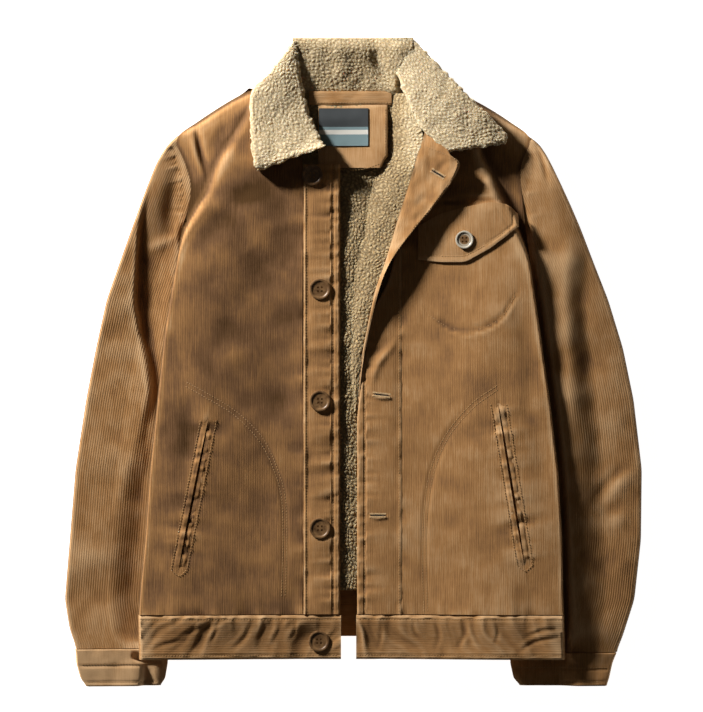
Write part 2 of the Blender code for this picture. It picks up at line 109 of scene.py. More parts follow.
SLEEVE_RIGHT = table(SleeveRow,
    (652, -190, -184), (642, -207, -199), (632, -220, -209), (618, -230, -205), (603, -238, -200.4),
    (578, -248, -193.4), (554, -257, -197), (540, -262, -203), (526, -267, -203), (484, -282, -198),
    (438, -298, -198), (379, -311, -199), (316, -323, -203), (231, -336, -207), (145, -343, -213),
    (72, -349, -218), (35, -343, -221), (13, -335, -222))
SLEEVE_LEFT = table(SleeveRow,
    (652, 198, 193), (642, 213, 206), (632, 229, 217), (618, 239, 213), (603, 247, 208.4),
    (578, 259, 208.4), (554, 270, 212), (540, 276, 215.5), (526, 282, 212.5), (484, 298, 210),
    (438, 316, 207), (379, 334, 204), (316, 347, 201), (231, 357, 198), (145, 356, 196), (72, 348, 196),
    (28, 334, 196), (8, 326, 196))
CUFF_RIGHT = table(SleeveRow,
    (12, -336, -222), (-6, -335, -223), (-24, -330, -226), (-33, -323, -232))
CUFF_LEFT = table(SleeveRow,
    (7, 326, 196), (-6, 321, 196), (-24, 317, 200), (-33, 314, 208))
SLEEVE = {"right": SLEEVE_RIGHT, "left": SLEEVE_LEFT}
CUFF = {"right": CUFF_RIGHT, "left": CUFF_LEFT}
SIDES = ("right", "left")
SIGN = {"right": -1.0, "left": 1.0}


def column(rows, name, y, soften=9.0):
    """One column of a table at heights y, with its corners rounded."""
    heights = [row.y for row in reversed(rows)]
    values = [getattr(row, name) for row in reversed(rows)]
    spread = np.linspace(-soften, soften, 7)
    return np.mean([np.interp(np.asarray(y, float) + step, heights, values) for step in spread], axis=0)


print("hem width, mm:", column(BODY, "left_outer", 20.0) - column(BODY, "right_outer", 20.0))

# %% [markdown]
# Folds, seams and puckers all follow lines drawn on the cloth. A line is a smooth curve through a few
# points, and every point of a panel asks how far it is from the line, on which side, and how far along.

# %% Lines on the cloth
def arrays(x, y):
    return np.broadcast_arrays(np.asarray(x, float), np.asarray(y, float))


def ease(t):
    t = np.clip(t, 0.0, 1.0)
    return t * t * (3.0 - 2.0 * t)


def roll(distance, radius):
    return np.sin(0.5 * np.pi * np.clip(distance / radius, 0.0, 1.0))


def curve(points, per_span=6):
    """A smooth line through the points."""
    points = np.asarray(points, float)
    if len(points) < 3:
        return points
    padded = np.vstack([2 * points[0] - points[1], points, 2 * points[-1] - points[-2]])
    t = np.linspace(0.0, 1.0, per_span, endpoint=False)[:, None]
    spans = []
    for a, b, c, d in zip(padded, padded[1:], padded[2:], padded[3:]):
        spans.append(0.5 * (2 * b + (c - a) * t + (2 * a - 5 * b + 4 * c - d) * t ** 2
                            + (3 * b - a - 3 * c + d) * t ** 3))
    return np.vstack(spans + [points[-1:]])


def along(path, x, y):
    """Distance to a path, the side it is on, and how far along the nearest place is."""
    nearest = np.full(np.shape(x), np.inf)
    side = np.zeros(np.shape(x))
    place = np.zeros(np.shape(x))
    start = 0.0
    for (x0, y0), (x1, y1) in zip(path, path[1:]):
        dx, dy = x1 - x0, y1 - y0
        length = math.hypot(dx, dy)
        t = np.clip(((x - x0) * dx + (y - y0) * dy) / length ** 2, 0.0, 1.0)
        away = np.hypot(x - x0 - t * dx, y - y0 - t * dy)
        nearer = away < nearest
        nearest = np.where(nearer, away, nearest)
        side = np.where(nearer, np.sign(dx * (y - y0) - dy * (x - x0)), side)
        place = np.where(nearer, start + t * length, place)
        start += length
    return nearest, side, place, start


def uneven(t, seed):
    """Smooth noise along one direction, about one swing a unit, from -1 to 1."""
    values = np.random.default_rng(seed).uniform(-1.0, 1.0, 512)
    step = np.floor(t).astype(int)
    return values[step % 512] + (values[(step + 1) % 512] - values[step % 512]) * ease(t - step)


def blotch(x, y, size, seed):
    """Smooth noise over the cloth, with patches of about the given size."""
    values = np.random.default_rng(seed).uniform(-1.0, 1.0, (64, 64))
    u, v = x / size, y / size
    i, j = np.floor(u).astype(int), np.floor(v).astype(int)
    s, t = ease(u - i), ease(v - j)
    low = values[i % 64, j % 64] * (1 - s) + values[(i + 1) % 64, j % 64] * s
    high = values[i % 64, (j + 1) % 64] * (1 - s) + values[(i + 1) % 64, (j + 1) % 64] * s
    return low * (1 - t) + high * t


# A crease is a soft trough, or a ridge where its height is positive. Its lip is a smaller swell of the
# opposite sign on its left (1) or right (-1), looking from its first point to its last.
Crease = namedtuple("Crease", "points width height lip")


def near_path(points, reach, x, y):
    """The smooth path through the points, and which places lie within reach of it."""
    path = curve(points)
    low, high = path.min(axis=0) - reach, path.max(axis=0) + reach
    return path, (x > low[0]) & (x < high[0]) & (y > low[1]) & (y < high[1])


def crease_height(creases, x, y):
    height = np.zeros(np.shape(x))
    for crease in creases:
        path, near = near_path(crease.points, 4.5 * crease.width, x, y)
        if not near.any():
            continue
        away, side, place, length = along(path, x[near], y[near])
        fade = np.sin(np.pi * np.clip(place / length, 0.03, 0.97)) ** 0.7
        profile = np.exp(-(away / crease.width) ** 2)
        lip_away = away * side * np.sign(crease.lip) - 1.7 * crease.width
        profile = profile - 0.5 * abs(crease.lip) * np.exp(-(lip_away / (1.1 * crease.width)) ** 2)
        height[near] += crease.height * fade * profile
    return height


# Puckers are short ripples across a seam, drawn up by its stitches.
Pucker = namedtuple("Pucker", "points spacing reach height seed")


def pucker_height(puckers, x, y):
    height = np.zeros(np.shape(x))
    for pucker in puckers:
        path, near = near_path(pucker.points, 4.0 * pucker.reach, x, y)
        if not near.any():
            continue
        away, side, place, length = along(path, x[near], y[near])
        swing = uneven(place / pucker.spacing + 0.12 * away * side / pucker.spacing, pucker.seed)
        swing = swing + 0.5 * uneven(place / (0.45 * pucker.spacing) + 7.0 * side, pucker.seed + 1)
        height[near] += pucker.height * swing * np.exp(-away / pucker.reach)
    return height


# Painted shade and painted light in patches: a patch has a middle, a reach across and up, and a shade,
# negative for painted shade and positive for painted light.
Patch = namedtuple("Patch", "x y across up shade")


def painted_patches(patches, x, y):
    return sum(patch.shade * np.exp(-((x - patch.x) / patch.across) ** 2 - ((y - patch.y) / patch.up) ** 2)
               for patch in patches)


print("tools for lines ready")

# %% [markdown]
# Colours are written as the sRGB hex values that a picture editor shows and turned to linear light once.
# Small functions add the shader nodes and link them, so that a material reads as a short list.

# %% Material tools
def colour(hex_value):
    channels = [int(hex_value[i:i + 2], 16) / 255.0 for i in (1, 3, 5)]
    linear = [c / 12.92 if c <= 0.04045 else ((c + 0.055) / 1.055) ** 2.4 for c in channels]
    return (*linear, 1.0)


def node(tree, kind, settings=None, inputs=None, links=None):
    """Add one node, set its properties and sockets, and link sockets from (node, output) pairs."""
    made = tree.nodes.new(kind)
    for name, value in (settings or {}).items():
        setattr(made, name, value)
    for name, value in (inputs or {}).items():
        made.inputs[name].default_value = value
    for name, (source, output) in (links or {}).items():
        tree.links.new(source.outputs[output], made.inputs[name])
    return made


def new_material(name, sockets):
    made = bpy.data.materials.new(name)
    made.use_nodes = True
    shader = made.node_tree.nodes["Principled BSDF"]
    for socket, value in sockets.items():
        shader.inputs[socket].default_value = value
    return made, made.node_tree, shader


def noise(tree, vector, **inputs):
    return node(tree, "ShaderNodeTexNoise", inputs=inputs, links={"Vector": vector})


def multiply_add(tree, first, factor, last):
    """A node for first x factor + last, where first and last are sockets."""
    return node(tree, "ShaderNodeMath", {"operation": "MULTIPLY_ADD"}, {1: factor}, {0: first, 2: last})


def colour_by(level, tree, shader, stops, kind="LINEAR"):
    """Colour a shader by a socket: each stop is a position and a hex colour, in rising order."""
    ramp = node(tree, "ShaderNodeValToRGB", links={"Fac": level})
    ramp.color_ramp.interpolation = kind
    elements = ramp.color_ramp.elements
    for number, (position, shade) in enumerate(stops):
        stop = elements[number] if number < 2 else elements.new(position)
        stop.position = position
        stop.color = colour(shade)
    tree.links.new(ramp.outputs["Color"], shader.inputs["Base Color"])


def roughen(tree, shader, height, strength, distance):
    bump = node(tree, "ShaderNodeBump", inputs={"Strength": strength, "Distance": distance},
                links={"Height": height})
    tree.links.new(bump.outputs["Normal"], shader.inputs["Normal"])


print("material tools ready")

# %% [markdown]
# Cotton corduroy is a velvet in stripes: cut tufts stand up in wales and scatter light from their tips, so
# it is matt with a soft sheen on slopes. Where it rubs on seams and ridges the tufts wear and turn pale.
# The wales are real ridges in the mesh. The material adds the worn colour from an attribute that each
# panel carries, cloudy brushing of the nap, and streaks along the wales. The same attribute also carries
# painted shade and painted light: shade in hollows, along the side folds and in patches, and panel tones
# set lighter or darker for the light each panel takes.

# %% Corduroy
# Dark, deep, plain and worn tan. The dark end is reached where shade is painted into the cloth's attribute.
TANS = [(0.0, "#52391F"), (0.3, "#76563A"), (0.6, "#9F7549"), (1.0, "#C19D74")]
WALE_PITCH = 2.8


def corduroy_material(name, across, wale_bump):
    """Corduroy whose wales run along Y (across="X") or along X (across="Y")."""
    made, tree, shader = new_material(name, {
        "Roughness": 0.92, "IOR": 1.45, "Specular IOR Level": 0.12,
        "Sheen Weight": 0.28, "Sheen Roughness": 0.42, "Sheen Tint": colour("#E8C79A")})
    place = (node(tree, "ShaderNodeTexCoord"), "Object")
    streak_scale = (900.0, 45.0, 45.0) if across == "X" else (45.0, 900.0, 45.0)
    stretched = node(tree, "ShaderNodeMapping", inputs={"Scale": streak_scale}, links={"Vector": place})
    streak = noise(tree, (stretched, "Vector"), Scale=1.0, Detail=2.0)
    cloud = noise(tree, place, Scale=26.0, Detail=4.0, Roughness=0.6)
    wear_and_painted_shade = node(tree, "ShaderNodeAttribute", {"attribute_name": "wear_and_painted_shade"})
    clouded = multiply_add(tree, (cloud, "Fac"), 0.6, (wear_and_painted_shade, "Fac"))
    level = multiply_add(tree, (streak, "Fac"), 0.5, (clouded, "Value"))
    colour_by((level, "Value"), tree, shader, TANS)
    nap_bump_and_painted_shade = (noise(tree, place, Scale=1400.0, Detail=2.0), "Fac")
    if wale_bump:
        wave = node(tree, "ShaderNodeTexWave", {"bands_direction": across},
                    {"Scale": 2.0 * math.pi / (20.0 * WALE_PITCH * MM)}, {"Vector": place})
        nap_bump_and_painted_shade = (multiply_add(tree, nap_bump_and_painted_shade, 0.25, (wave, "Fac")), "Value")
    roughen(tree, shader, nap_bump_and_painted_shade, 0.35, 0.0006)
    return made


corduroy = corduroy_material("cotton_corduroy", "X", False)
corduroy_across = corduroy_material("cotton_corduroy_across", "Y", False)
corduroy_hidden = corduroy_material("cotton_corduroy_back", "X", True)
print("corduroy:", corduroy.name, corduroy_across.name, corduroy_hidden.name)

# %% [markdown]
# The pile is polyester rolled into nubs. It scatters light among its fibres, so it has no gloss. The gaps
# between the nubs are painted darker and warmer than their tops, as painted shade; the attribute follows the
# height in the pile.

# %% Pile and thread
def pile_material():
    made, tree, shader = new_material("curled_polyester_pile", {
        "Roughness": 1.0, "IOR": 1.4, "Specular IOR Level": 0.05, "Subsurface Weight": 0.9,
        "Subsurface Radius": (1.0, 0.85, 0.7), "Subsurface Scale": 0.006,
        "Sheen Weight": 0.25, "Sheen Roughness": 0.5, "Sheen Tint": colour("#F4E6CC")})
    place = (node(tree, "ShaderNodeTexCoord"), "Object")
    wear_and_painted_shade = node(tree, "ShaderNodeAttribute", {"attribute_name": "wear_and_painted_shade"})
    cloud = noise(tree, place, Scale=60.0, Detail=3.0)
    level = multiply_add(tree, (cloud, "Fac"), 0.3, (wear_and_painted_shade, "Fac"))
    colour_by((level, "Value"), tree, shader, [(0.0, "#5E4C36"), (0.4, "#9F8B69"), (1.0, "#D3C2A2")])
    roughen(tree, shader, (noise(tree, place, Scale=800.0, Detail=3.0), "Fac"), 0.6, 0.001)
    return made


pile = pile_material()
# Spun polyester sewing thread: a fine even gleam, a shade paler than the cloth.
thread = new_material("sewing_thread", {
    "Base Color": colour("#A9834F"), "Roughness": 0.6, "IOR": 1.5, "Sheen Weight": 0.2})[0]
# The thicker, paler twist that buttonholes are worked in.
twist = new_material("buttonhole_twist", {
    "Base Color": colour("#D2B283"), "Roughness": 0.55, "IOR": 1.5, "Sheen Weight": 0.2})[0]
print("pile and thread:", pile.name, thread.name, twist.name)

# %% [markdown]
# A panel is a grid of points: rows run down the cloth and columns across it. Columns that run past the
# outline are pulled back to it and merged, so the edge is clean whatever the outline does. The underside
# is smooth, so it keeps every fourth column only, and a rim closes the wall between the two faces.

# %% Panel maker
UNDER_SKIP = 4


def quads(index):
    """Faces of a grid of point numbers."""
    corners = [index[:-1, :-1], index[1:, :-1], index[1:, 1:], index[:-1, 1:]]
    return np.stack([corner.ravel() for corner in corners], axis=1).tolist()


def shell_faces(rows, fine, skip):
    """Faces of a wall: a fine upper grid, a coarse under grid, and the rim between them."""
    top = np.arange(rows * fine).reshape(rows, fine)
    coarse = (fine - 1) // skip + 1
    under = rows * fine + np.arange(rows * coarse).reshape(rows, coarse)
    faces = quads(top) + quads(under)
    for side in (0, -1):
        rim = [top[:-1, side], under[:-1, side], under[1:, side], top[1:, side]]
        faces += np.stack(rim, axis=1).tolist()
    for end in (0, -1):
        for k in range(coarse - 1):
            faces.append(top[end, k * skip:k * skip + skip + 1].tolist() + [under[end, k + 1], under[end, k]])
    return faces


def merged_mesh(name, points, faces, wear_and_painted_shade):
    """A mesh in the frame with its doubles merged, its faces outwards and a value of wear and painted shade
    on each point.
    """
    mesh = bpy.data.meshes.new(name)
    mesh.from_pydata(to_frame(points), [], faces)
    mesh.attributes.new("wear_and_painted_shade", "FLOAT", "POINT").data.foreach_set("value", np.ravel(wear_and_painted_shade).astype(np.float32))
    shaped = bmesh.new()
    shaped.from_mesh(mesh)
    bmesh.ops.remove_doubles(shaped, verts=shaped.verts, dist=0.00002)
    bmesh.ops.recalc_face_normals(shaped, faces=shaped.faces)
    shaped.to_mesh(mesh)
    shaped.free()
    return mesh


def add_piece(name, mesh, finish, nodes=(), smooth_angle=60.0):
    """Put a finished mesh in the scene, on the frame, in place of the solids it stands for."""
    made = bpy.data.objects.new(name, mesh)
    bpy.context.scene.collection.objects.link(made)
    made.data.materials.append(finish)
    bpy.ops.object.select_all(action="DESELECT")
    made.select_set(True)
    bpy.context.view_layer.objects.active = made
    bpy.ops.object.shade_smooth_by_angle(angle=math.radians(smooth_angle))
    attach(made, "root")
    if nodes:
        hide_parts(*nodes)
    return made


def grid(x, y, z):
    return np.stack(np.broadcast_arrays(x, y, z), axis=2)


def cloth(name, points, relief, wear_and_painted_shade, wall, finish, skip=UNDER_SKIP, nodes=None):
    """A cloth wall under a grid of points, with a relief such as wales on its upper face."""
    rows, fine = points.shape[:2]
    relief, wear_and_painted_shade = (np.broadcast_to(value, (rows, fine)) for value in (relief, wear_and_painted_shade))
    spare = (fine - 1) % skip
    if spare:
        keep = np.append(np.arange(fine), [fine - 1] * (skip - spare))
        points, relief, wear_and_painted_shade = points[:, keep], relief[:, keep], wear_and_painted_shade[:, keep]
        fine = points.shape[1]
    top = points.copy()
    top[..., 2] += relief
    under = points[:, ::skip].copy()
    under[..., 2] -= wall
    every = np.vstack([top.reshape(-1, 3), under.reshape(-1, 3)])
    value = np.concatenate([wear_and_painted_shade.ravel(), np.zeros(under.shape[0] * under.shape[1])])
    mesh = merged_mesh(name + "_cloth", every, shell_faces(rows, fine, skip), value)
    return add_piece(name + "_cloth", mesh, finish, [name] if nodes is None else nodes)


# As colour this gives pale wear on ridges and painted shade in hollows.
def wear_on_ridges_shade_in_hollows(z, reach):
    """How far each point of a grid stands out of its surroundings, from -1 to 1."""
    soft = z.copy()
    for _ in range(reach):
        wide = np.pad(soft, 1, mode="edge")
        soft = 0.25 * (wide[:-2, 1:-1] + wide[2:, 1:-1] + wide[1:-1, :-2] + wide[1:-1, 2:])
    return np.clip((z - soft) / 1.2, -1.0, 1.0)


print("panel maker ready")

# %% [markdown]
# The heights repeat those of the solids: the back lies flat and climbs over the sleeves, the fronts lie on
# the stack of linings and roll down at the side folds, and the sleeves are full beside the body and
# pressed flat under it. The creases, read from the picture, are added to them.

# %% Heights of the body
# Gaps between cloths that are sewn together, lie on each other, or meet at the hem.
SEAM_GAP, LYING_GAP, HEM_GAP = 0.3, 0.8, 1.2
CLOTH = 2.0
# Upper face of a front on the stack of linings, and the back's climb over the sleeves.
STACK = 27.0
SIDE_RISE = 16.0
# Level of the armhole's seam, where it begins, and how long it takes to rise.
ARMHOLE_LEVEL, ARMHOLE_FOOT_Y, ARMHOLE_RISE = 17.0, 495.0, 45.0
HEM_DROP = 5.0
# How far before a sleeve the back and the fronts begin to climb, and where the climb ends.
BACK_BRIDGE, FRONT_BRIDGE, CLIMB_END_Y = 26.0, 115.0, 575.0
FRONT_RISE = 7.0
FRONT_SAG, SAG_FROM, SAG_WIDTH = 5.0, 30.0, 130.0
# Radius of the side folds, the softer roll and swell at the shoulder, and the foot of every fold.
FOLD_RADIUS, FOLD_FOOT = 3.0, 4.3
SHOULDER_Y, SHOULDER_ROLL, SHOULDER_SWELL, SHOULDER_EDGE = 634.0, 15.0, 3.5, 10.0
# A sleeve beside the body and pressed under it, and the roll at its outer and inner edges.
SLEEVE_HEIGHT, SLEEVE_PRESSED = 21.0, 14.0
SLEEVE_ROLL, SLEEVE_INNER_ROLL = 3.5, 12.0
UNDERARM_Y = 556.0
HEM_Y, BACK_HEM_Y, BACK_BAND_END_Y, NECK_Y = 54.0, 84.0, 27.0, 691.0


def by_side(x, right, left):
    return np.where(x < 0, right, left)


def body_edge(x, edge, y):
    """How far out an edge of the body is, on the side that x is on."""
    return np.abs(by_side(x, *(column(BODY, f"{side}_{edge}", y) for side in SIDES)))


def over_sleeve(x, y, bridge):
    """How far the cloth has climbed a sleeve, beginning one bridge's width before the sleeve's edge."""
    inner = by_side(x, *(column(SLEEVE[side], "inner", y) for side in SIDES))
    return ease((np.abs(x) - np.abs(inner) + bridge) / (bridge + 8.0)) * ease((CLIMB_END_Y - y) / 30.0)


def back_height(x, y):
    return SIDE_RISE * over_sleeve(x, y, BACK_BRIDGE)


def shoulder_distance(x, y):
    lines = ([(getattr(row, side + "_outer"), row.y) for row in BODY[:5]] for side in SIDES)
    return by_side(x, *(along(line, x, y)[0] for line in lines))


def plain_front(x, y):
    """Upper face of a front without its creases, and how much of a crease shows there."""
    out = np.abs(x)
    sag = FRONT_SAG * (1.0 - ease((out - SAG_FROM) / SAG_WIDTH))
    slope = FRONT_RISE * over_sleeve(x, y, FRONT_BRIDGE) - sag
    top = STACK + slope - HEM_DROP * ease((HEM_Y + 6.0 - y) / 50.0)
    shoulder_part = ARMHOLE_LEVEL + SHOULDER_SWELL * ease((body_edge(x, "outer", y) - out) / 42.0)
    at_armhole = ease((y - ARMHOLE_FOOT_Y) / ARMHOLE_RISE)
    foot = np.minimum(np.maximum(back_height(x, y) + FOLD_FOOT, shoulder_part * at_armhole), top)
    radius = FOLD_RADIUS + (SHOULDER_ROLL - FOLD_RADIUS) * ease((y - ARMHOLE_FOOT_Y) / 60.0)
    rolled = roll(body_edge(x, "fold", y) - out, radius)
    height = foot + (top - foot) * rolled
    edge = 1.0 - roll(shoulder_distance(x, y), SHOULDER_EDGE)
    shoulder = 1.0 - edge * ease((y - SHOULDER_Y) / 24.0)
    return FOLD_FOOT + (height - FOLD_FOOT) * shoulder, rolled * shoulder


FRONT_CREASES = table(Crease,
    ([(-165, 590), (-150, 548), (-178, 480), (-196, 440)], 26, 1.4, 0),
    ([(-113, 580), (-140, 556), (-156, 536), (-178, 505)], 15, -2.6, 0),
    ([(-84, 532), (-74, 500), (-84, 470)], 20, -2.2, 0),
    ([(-130, 496), (-112, 470), (-120, 440)], 20, -1.8, 0),
    ([(-105, 540), (-108, 515), (-96, 486)], 17, 1.5, 0),
    ([(-150, 420), (-140, 370)], 24, -1.2, 0),
    ([(-88, 390), (-80, 330), (-96, 270)], 22, -1.5, 0),
    ([(-200, 330), (-196, 270), (-204, 200)], 12, -1.6, 1),
    ([(-105, 240), (-95, 120)], 34, -1.5, 0),
    ([(150, 450), (160, 330)], 34, 1.5, 0),
    ([(168, 590), (182, 560)], 14, 2.5, 0),
    ([(200, 440), (222, 360), (214, 300)], 13, -1.4, 0),
    ([(205, 330), (232, 260), (236, 200)], 12, -1.2, 0),
    ([(-172, 292), (-190, 201), (-208, 110)], 2.4, -3.2, 0),
    ([(180, 312), (196, 214), (212, 116)], 2.4, -3.2, 0),
    ([(92, 424), (122, 404), (152, 401), (183, 416), (204, 448)], 2.6, -0.9, -1),
    ([(94, 552), (140, 558), (183, 557), (208, 542)], 2.6, -1.8, 1))
SHOULDER_CREASES = table(Crease,
    ([(-189, 656), (-185, 636), (-181, 616), (-171, 584)], 4.0, -2.8, -1),
    ([(-150, 664), (-158, 640), (-166, 622)], 8, -1.0, 0))
# Lines of stitching that hold the pockets on the inside of the fronts, drawn slightly into the cloth.
POCKET_LINES = {
    "right": [[(-199, 338), (-173, 324), (-137, 301), (-107, 271), (-89, 234), (-79, 198), (-77, 149),
               (-79, 76)],
              [(-200, 333), (-175, 319), (-140, 297), (-111, 267), (-93, 232), (-83.5, 197), (-81.5, 149),
               (-83.5, 76)]],
    "left": [[(179, 334), (146, 310), (116, 273), (98, 231), (90, 182), (88, 121), (90, 60)],
             [(180, 329), (149, 306), (120, 271), (102.5, 229), (94.5, 181), (92.5, 121), (94.5, 60)],
             [(95, 420), (122, 404), (152, 401), (183, 416), (201, 444)]],
}
FRONT_CREASES += [Crease(line, 2.6, -0.6, 0) for side in SIDES for line in POCKET_LINES[side]]
FRONT_PUCKERS = table(Pucker,
    ([(-57, 600), (-57, 330), (-57, 56)], 13, 9, 0.8, 11),
    ([(63, 510), (63, 300), (63, 56)], 14, 8, 0.7, 12),
    ([(-258, 55), (-130, 54), (-12, 55)], 19, 14, 1.1, 13),
    ([(8, 55), (130, 54), (261, 55)], 19, 14, 1.1, 14),
    ([(-207, 622), (-198, 590), (-195, 555), (-204, 522)], 9, 7, 0.7, 15),
    ([(213, 622), (207, 590), (209, 555), (214, 522)], 9, 7, 0.7, 16),
    ([(-172, 292), (-190, 201), (-208, 110)], 11, 14, 1.5, 17),
    ([(180, 312), (196, 214), (212, 116)], 10, 15, 1.6, 18),
    ([(95, 420), (122, 404), (152, 401), (183, 416), (201, 444)], 11, 9, 0.5, 19))


def front_top(x, y):
    """Upper face of the fronts with creases, puckers and the unevenness of soft cloth."""
    x, y = arrays(x, y)
    height, share = plain_front(x, y)
    soft = 0.9 * blotch(x, y, 46.0, 21) + 0.35 * blotch(x, y, 21.0, 22)
    height = height + crease_height(SHOULDER_CREASES, x, y)
    return height + share * (crease_height(FRONT_CREASES, x, y) + pucker_height(FRONT_PUCKERS, x, y) + soft)


print("front height at the chest, mm:", np.round(front_top(np.array([-120.0]), np.array([480.0])), 1))

# %% [markdown]
# All seams are lockstitched. One stitch is modelled from a sphere with Blender's tools, then its points are
# copied along every line of a panel into one joined mesh. A buttonhole is a dark slit between two rows of
# short stitches set side by side across it.

# %% Stitches and buttonholes
STITCH_LENGTH = 2.6
STITCH_WIDTH = 0.8
STITCH_PITCH = 3.5
SLIT_CORNERS = 24
SLIT_TO_STITCH = 1.9
Hole = namedtuple("Hole", "x0 y0 x1 y1")
# The inside of a slit, where hardly any light gets in.
slit_dark = new_material("shaded_cloth", {"Base Color": colour("#1E140B"), "Roughness": 1.0})[0]


def model_stitch():
    """Points and faces of one stitch, in millimetres, lying along x."""
    bpy.ops.object.select_all(action="DESELECT")
    bpy.ops.mesh.primitive_uv_sphere_add(segments=6, ring_count=4, radius=0.5)
    bpy.ops.transform.resize(value=(STITCH_LENGTH, STITCH_WIDTH, 0.8 * STITCH_WIDTH))
    bpy.ops.object.transform_apply(location=True, rotation=True, scale=True)
    made = bpy.context.object
    points = np.array([vertex.co for vertex in made.data.vertices])
    # Blender lists the sphere's faces in a varying order, so they are sorted to give the same mesh each run.
    faces = sorted(list(polygon.vertices) for polygon in made.data.polygons)
    bpy.data.objects.remove(made, do_unlink=True)
    return points, faces


stitch_points, stitch_faces = model_stitch()


def joined_stitches(name, x, y, z, angle, finish):
    """Copies of the stitch at many places, turned by their angles, as one mesh."""
    turned = np.stack([np.cos(angle), np.sin(angle)], axis=1)
    across = stitch_points[None, :, 0] * turned[:, :1] - stitch_points[None, :, 1] * turned[:, 1:]
    along_y = stitch_points[None, :, 0] * turned[:, 1:] + stitch_points[None, :, 1] * turned[:, :1]
    points = grid(across + x[:, None], along_y + y[:, None], stitch_points[None, :, 2] + z[:, None])
    faces = [[corner + number * len(stitch_points) for corner in face]
             for number in range(len(x)) for face in stitch_faces]
    points = points.reshape(-1, 3)
    return add_piece(name, merged_mesh(name, points, faces, np.zeros(len(points))), finish)


def stitches(name, lines, top):
    """Rows of stitches along lines on a panel whose upper face is top(x, y)."""
    places = []
    for line in lines:
        path = curve(line, 12)
        run = np.append(0.0, np.cumsum(np.hypot(*np.diff(path, axis=0).T)))
        at = np.arange(0.5 * STITCH_PITCH, run[-1], STITCH_PITCH)
        here, ahead, behind = (np.stack([np.interp(at + step, run, path[:, axis]) for axis in (0, 1)])
                               for step in (0.0, 1.0, -1.0))
        heading = ahead - behind
        places.append(np.vstack([here, np.arctan2(heading[1], heading[0])]))
    x, y, angle = np.hstack(places)
    return joined_stitches(name + "_stitches", x, y, top(x, y) + 0.1, angle, thread)


def buttonhole(name, hole, top):
    """A dark slit and the stitches worked along both its sides."""
    dx, dy = hole.x1 - hole.x0, hole.y1 - hole.y0
    length, angle = math.hypot(dx, dy), math.atan2(dy, dx)
    count = SLIT_CORNERS
    turn = np.linspace(0.0, 2.0 * np.pi, count, endpoint=False)
    along_slit, off_slit = 0.5 * length * np.cos(turn), 1.1 * np.sin(turn)
    x = hole.x0 + 0.5 * dx + along_slit * math.cos(angle) - off_slit * math.sin(angle)
    y = hole.y0 + 0.5 * dy + along_slit * math.sin(angle) + off_slit * math.cos(angle)
    z = top(x, y)
    lens = np.vstack([np.stack([x, y, z + 0.3], axis=1), np.stack([x, y, z - 0.5], axis=1)])
    faces = [list(range(count)), list(range(count, 2 * count))]
    faces += [[k, (k + 1) % count, (k + 1) % count + count, k + count] for k in range(count)]
    mesh = merged_mesh(name, lens, faces, np.zeros(2 * count))
    slit = add_piece(name + "_slit", mesh, slit_dark)
    at = np.tile(np.arange(0.0, length, 1.0) / length, 2)
    off = np.repeat([-SLIT_TO_STITCH, SLIT_TO_STITCH], len(at) // 2)
    x = hole.x0 + dx * at - off * math.sin(angle)
    y = hole.y0 + dy * at + off * math.cos(angle)
    turned = np.full(len(x), angle + 0.5 * math.pi)
    return [slit, joined_stitches(name + "_stitches", x, y, top(x, y) + 0.1, turned, twist)]


def resting_on(points):
    """The upper face of a grid, as the height of its point nearest to each place."""
    flat = points.reshape(-1, 3)

    def top(x, y):
        away = (flat[None, :, 0] - x[:, None]) ** 2 + (flat[None, :, 1] - y[:, None]) ** 2
        return flat[away.argmin(axis=1), 2]

    return top


print("stitch points:", len(stitch_points))

# %% [markdown]
# Each front is one panel. Its wales run straight up the body, so the columns of its grid stand four to a
# wale, and the outline cuts across them at the side as shears would.

# %% Fronts
WALE_HEIGHT = 0.075
COLUMN_STEP = WALE_PITCH / 4.0
ROW_STEP = 4.5
# Rows stand closer above this height, for the creases of the shoulder.
FRONT_FINE_Y = 632.0
FRONT_REACH = 206.0
# The right front is painted darker: painted shade, for its nap brushed the other way, which takes the light
# less.
FRONT_PANEL_PAINTED_SHADE = {"right": -0.22, "left": 0.0}
# Painted patches on the fronts, such as the painted shadow under the collar's right wing.
FRONT_PAINTED_PATCHES = table(Patch,
    (-112, 566, 30, 22, -0.32), (-142, 533, 18, 22, -0.24), (-171, 560, 14, 18, -0.25),
    (-200, 410, 14, 55, 0.2), (-66, 365, 16, 60, 0.14), (-200, 267, 14, 22, -0.15),
    (-140, 225, 50, 35, 0.1), (196, 428, 34, 55, 0.24), (210, 225, 30, 60, 0.1), (122, 355, 26, 30, -0.1),
    (150, 480, 40, 25, 0.08), (-168, 606, 34, 40, 0.2))
PLACKET_SEAM = {"right": -57.0, "left": 63.0}


def wales(offset, edge_distance):
    """Height of the ribs at an offset across them, fading at a cut edge."""
    return WALE_HEIGHT * np.cos(2.0 * np.pi * offset / WALE_PITCH) * ease(edge_distance / 2.5)


def steps(start, end, size):
    return np.linspace(start, end, int(round(abs(end - start) / size)) + 1)


def two_steps(start, change, end):
    """Rows at half the usual step down to a change, and at the usual step below it."""
    return np.append(steps(start, change, 0.5 * ROW_STEP), steps(change - 4.0, end, ROW_STEP))[:, None]


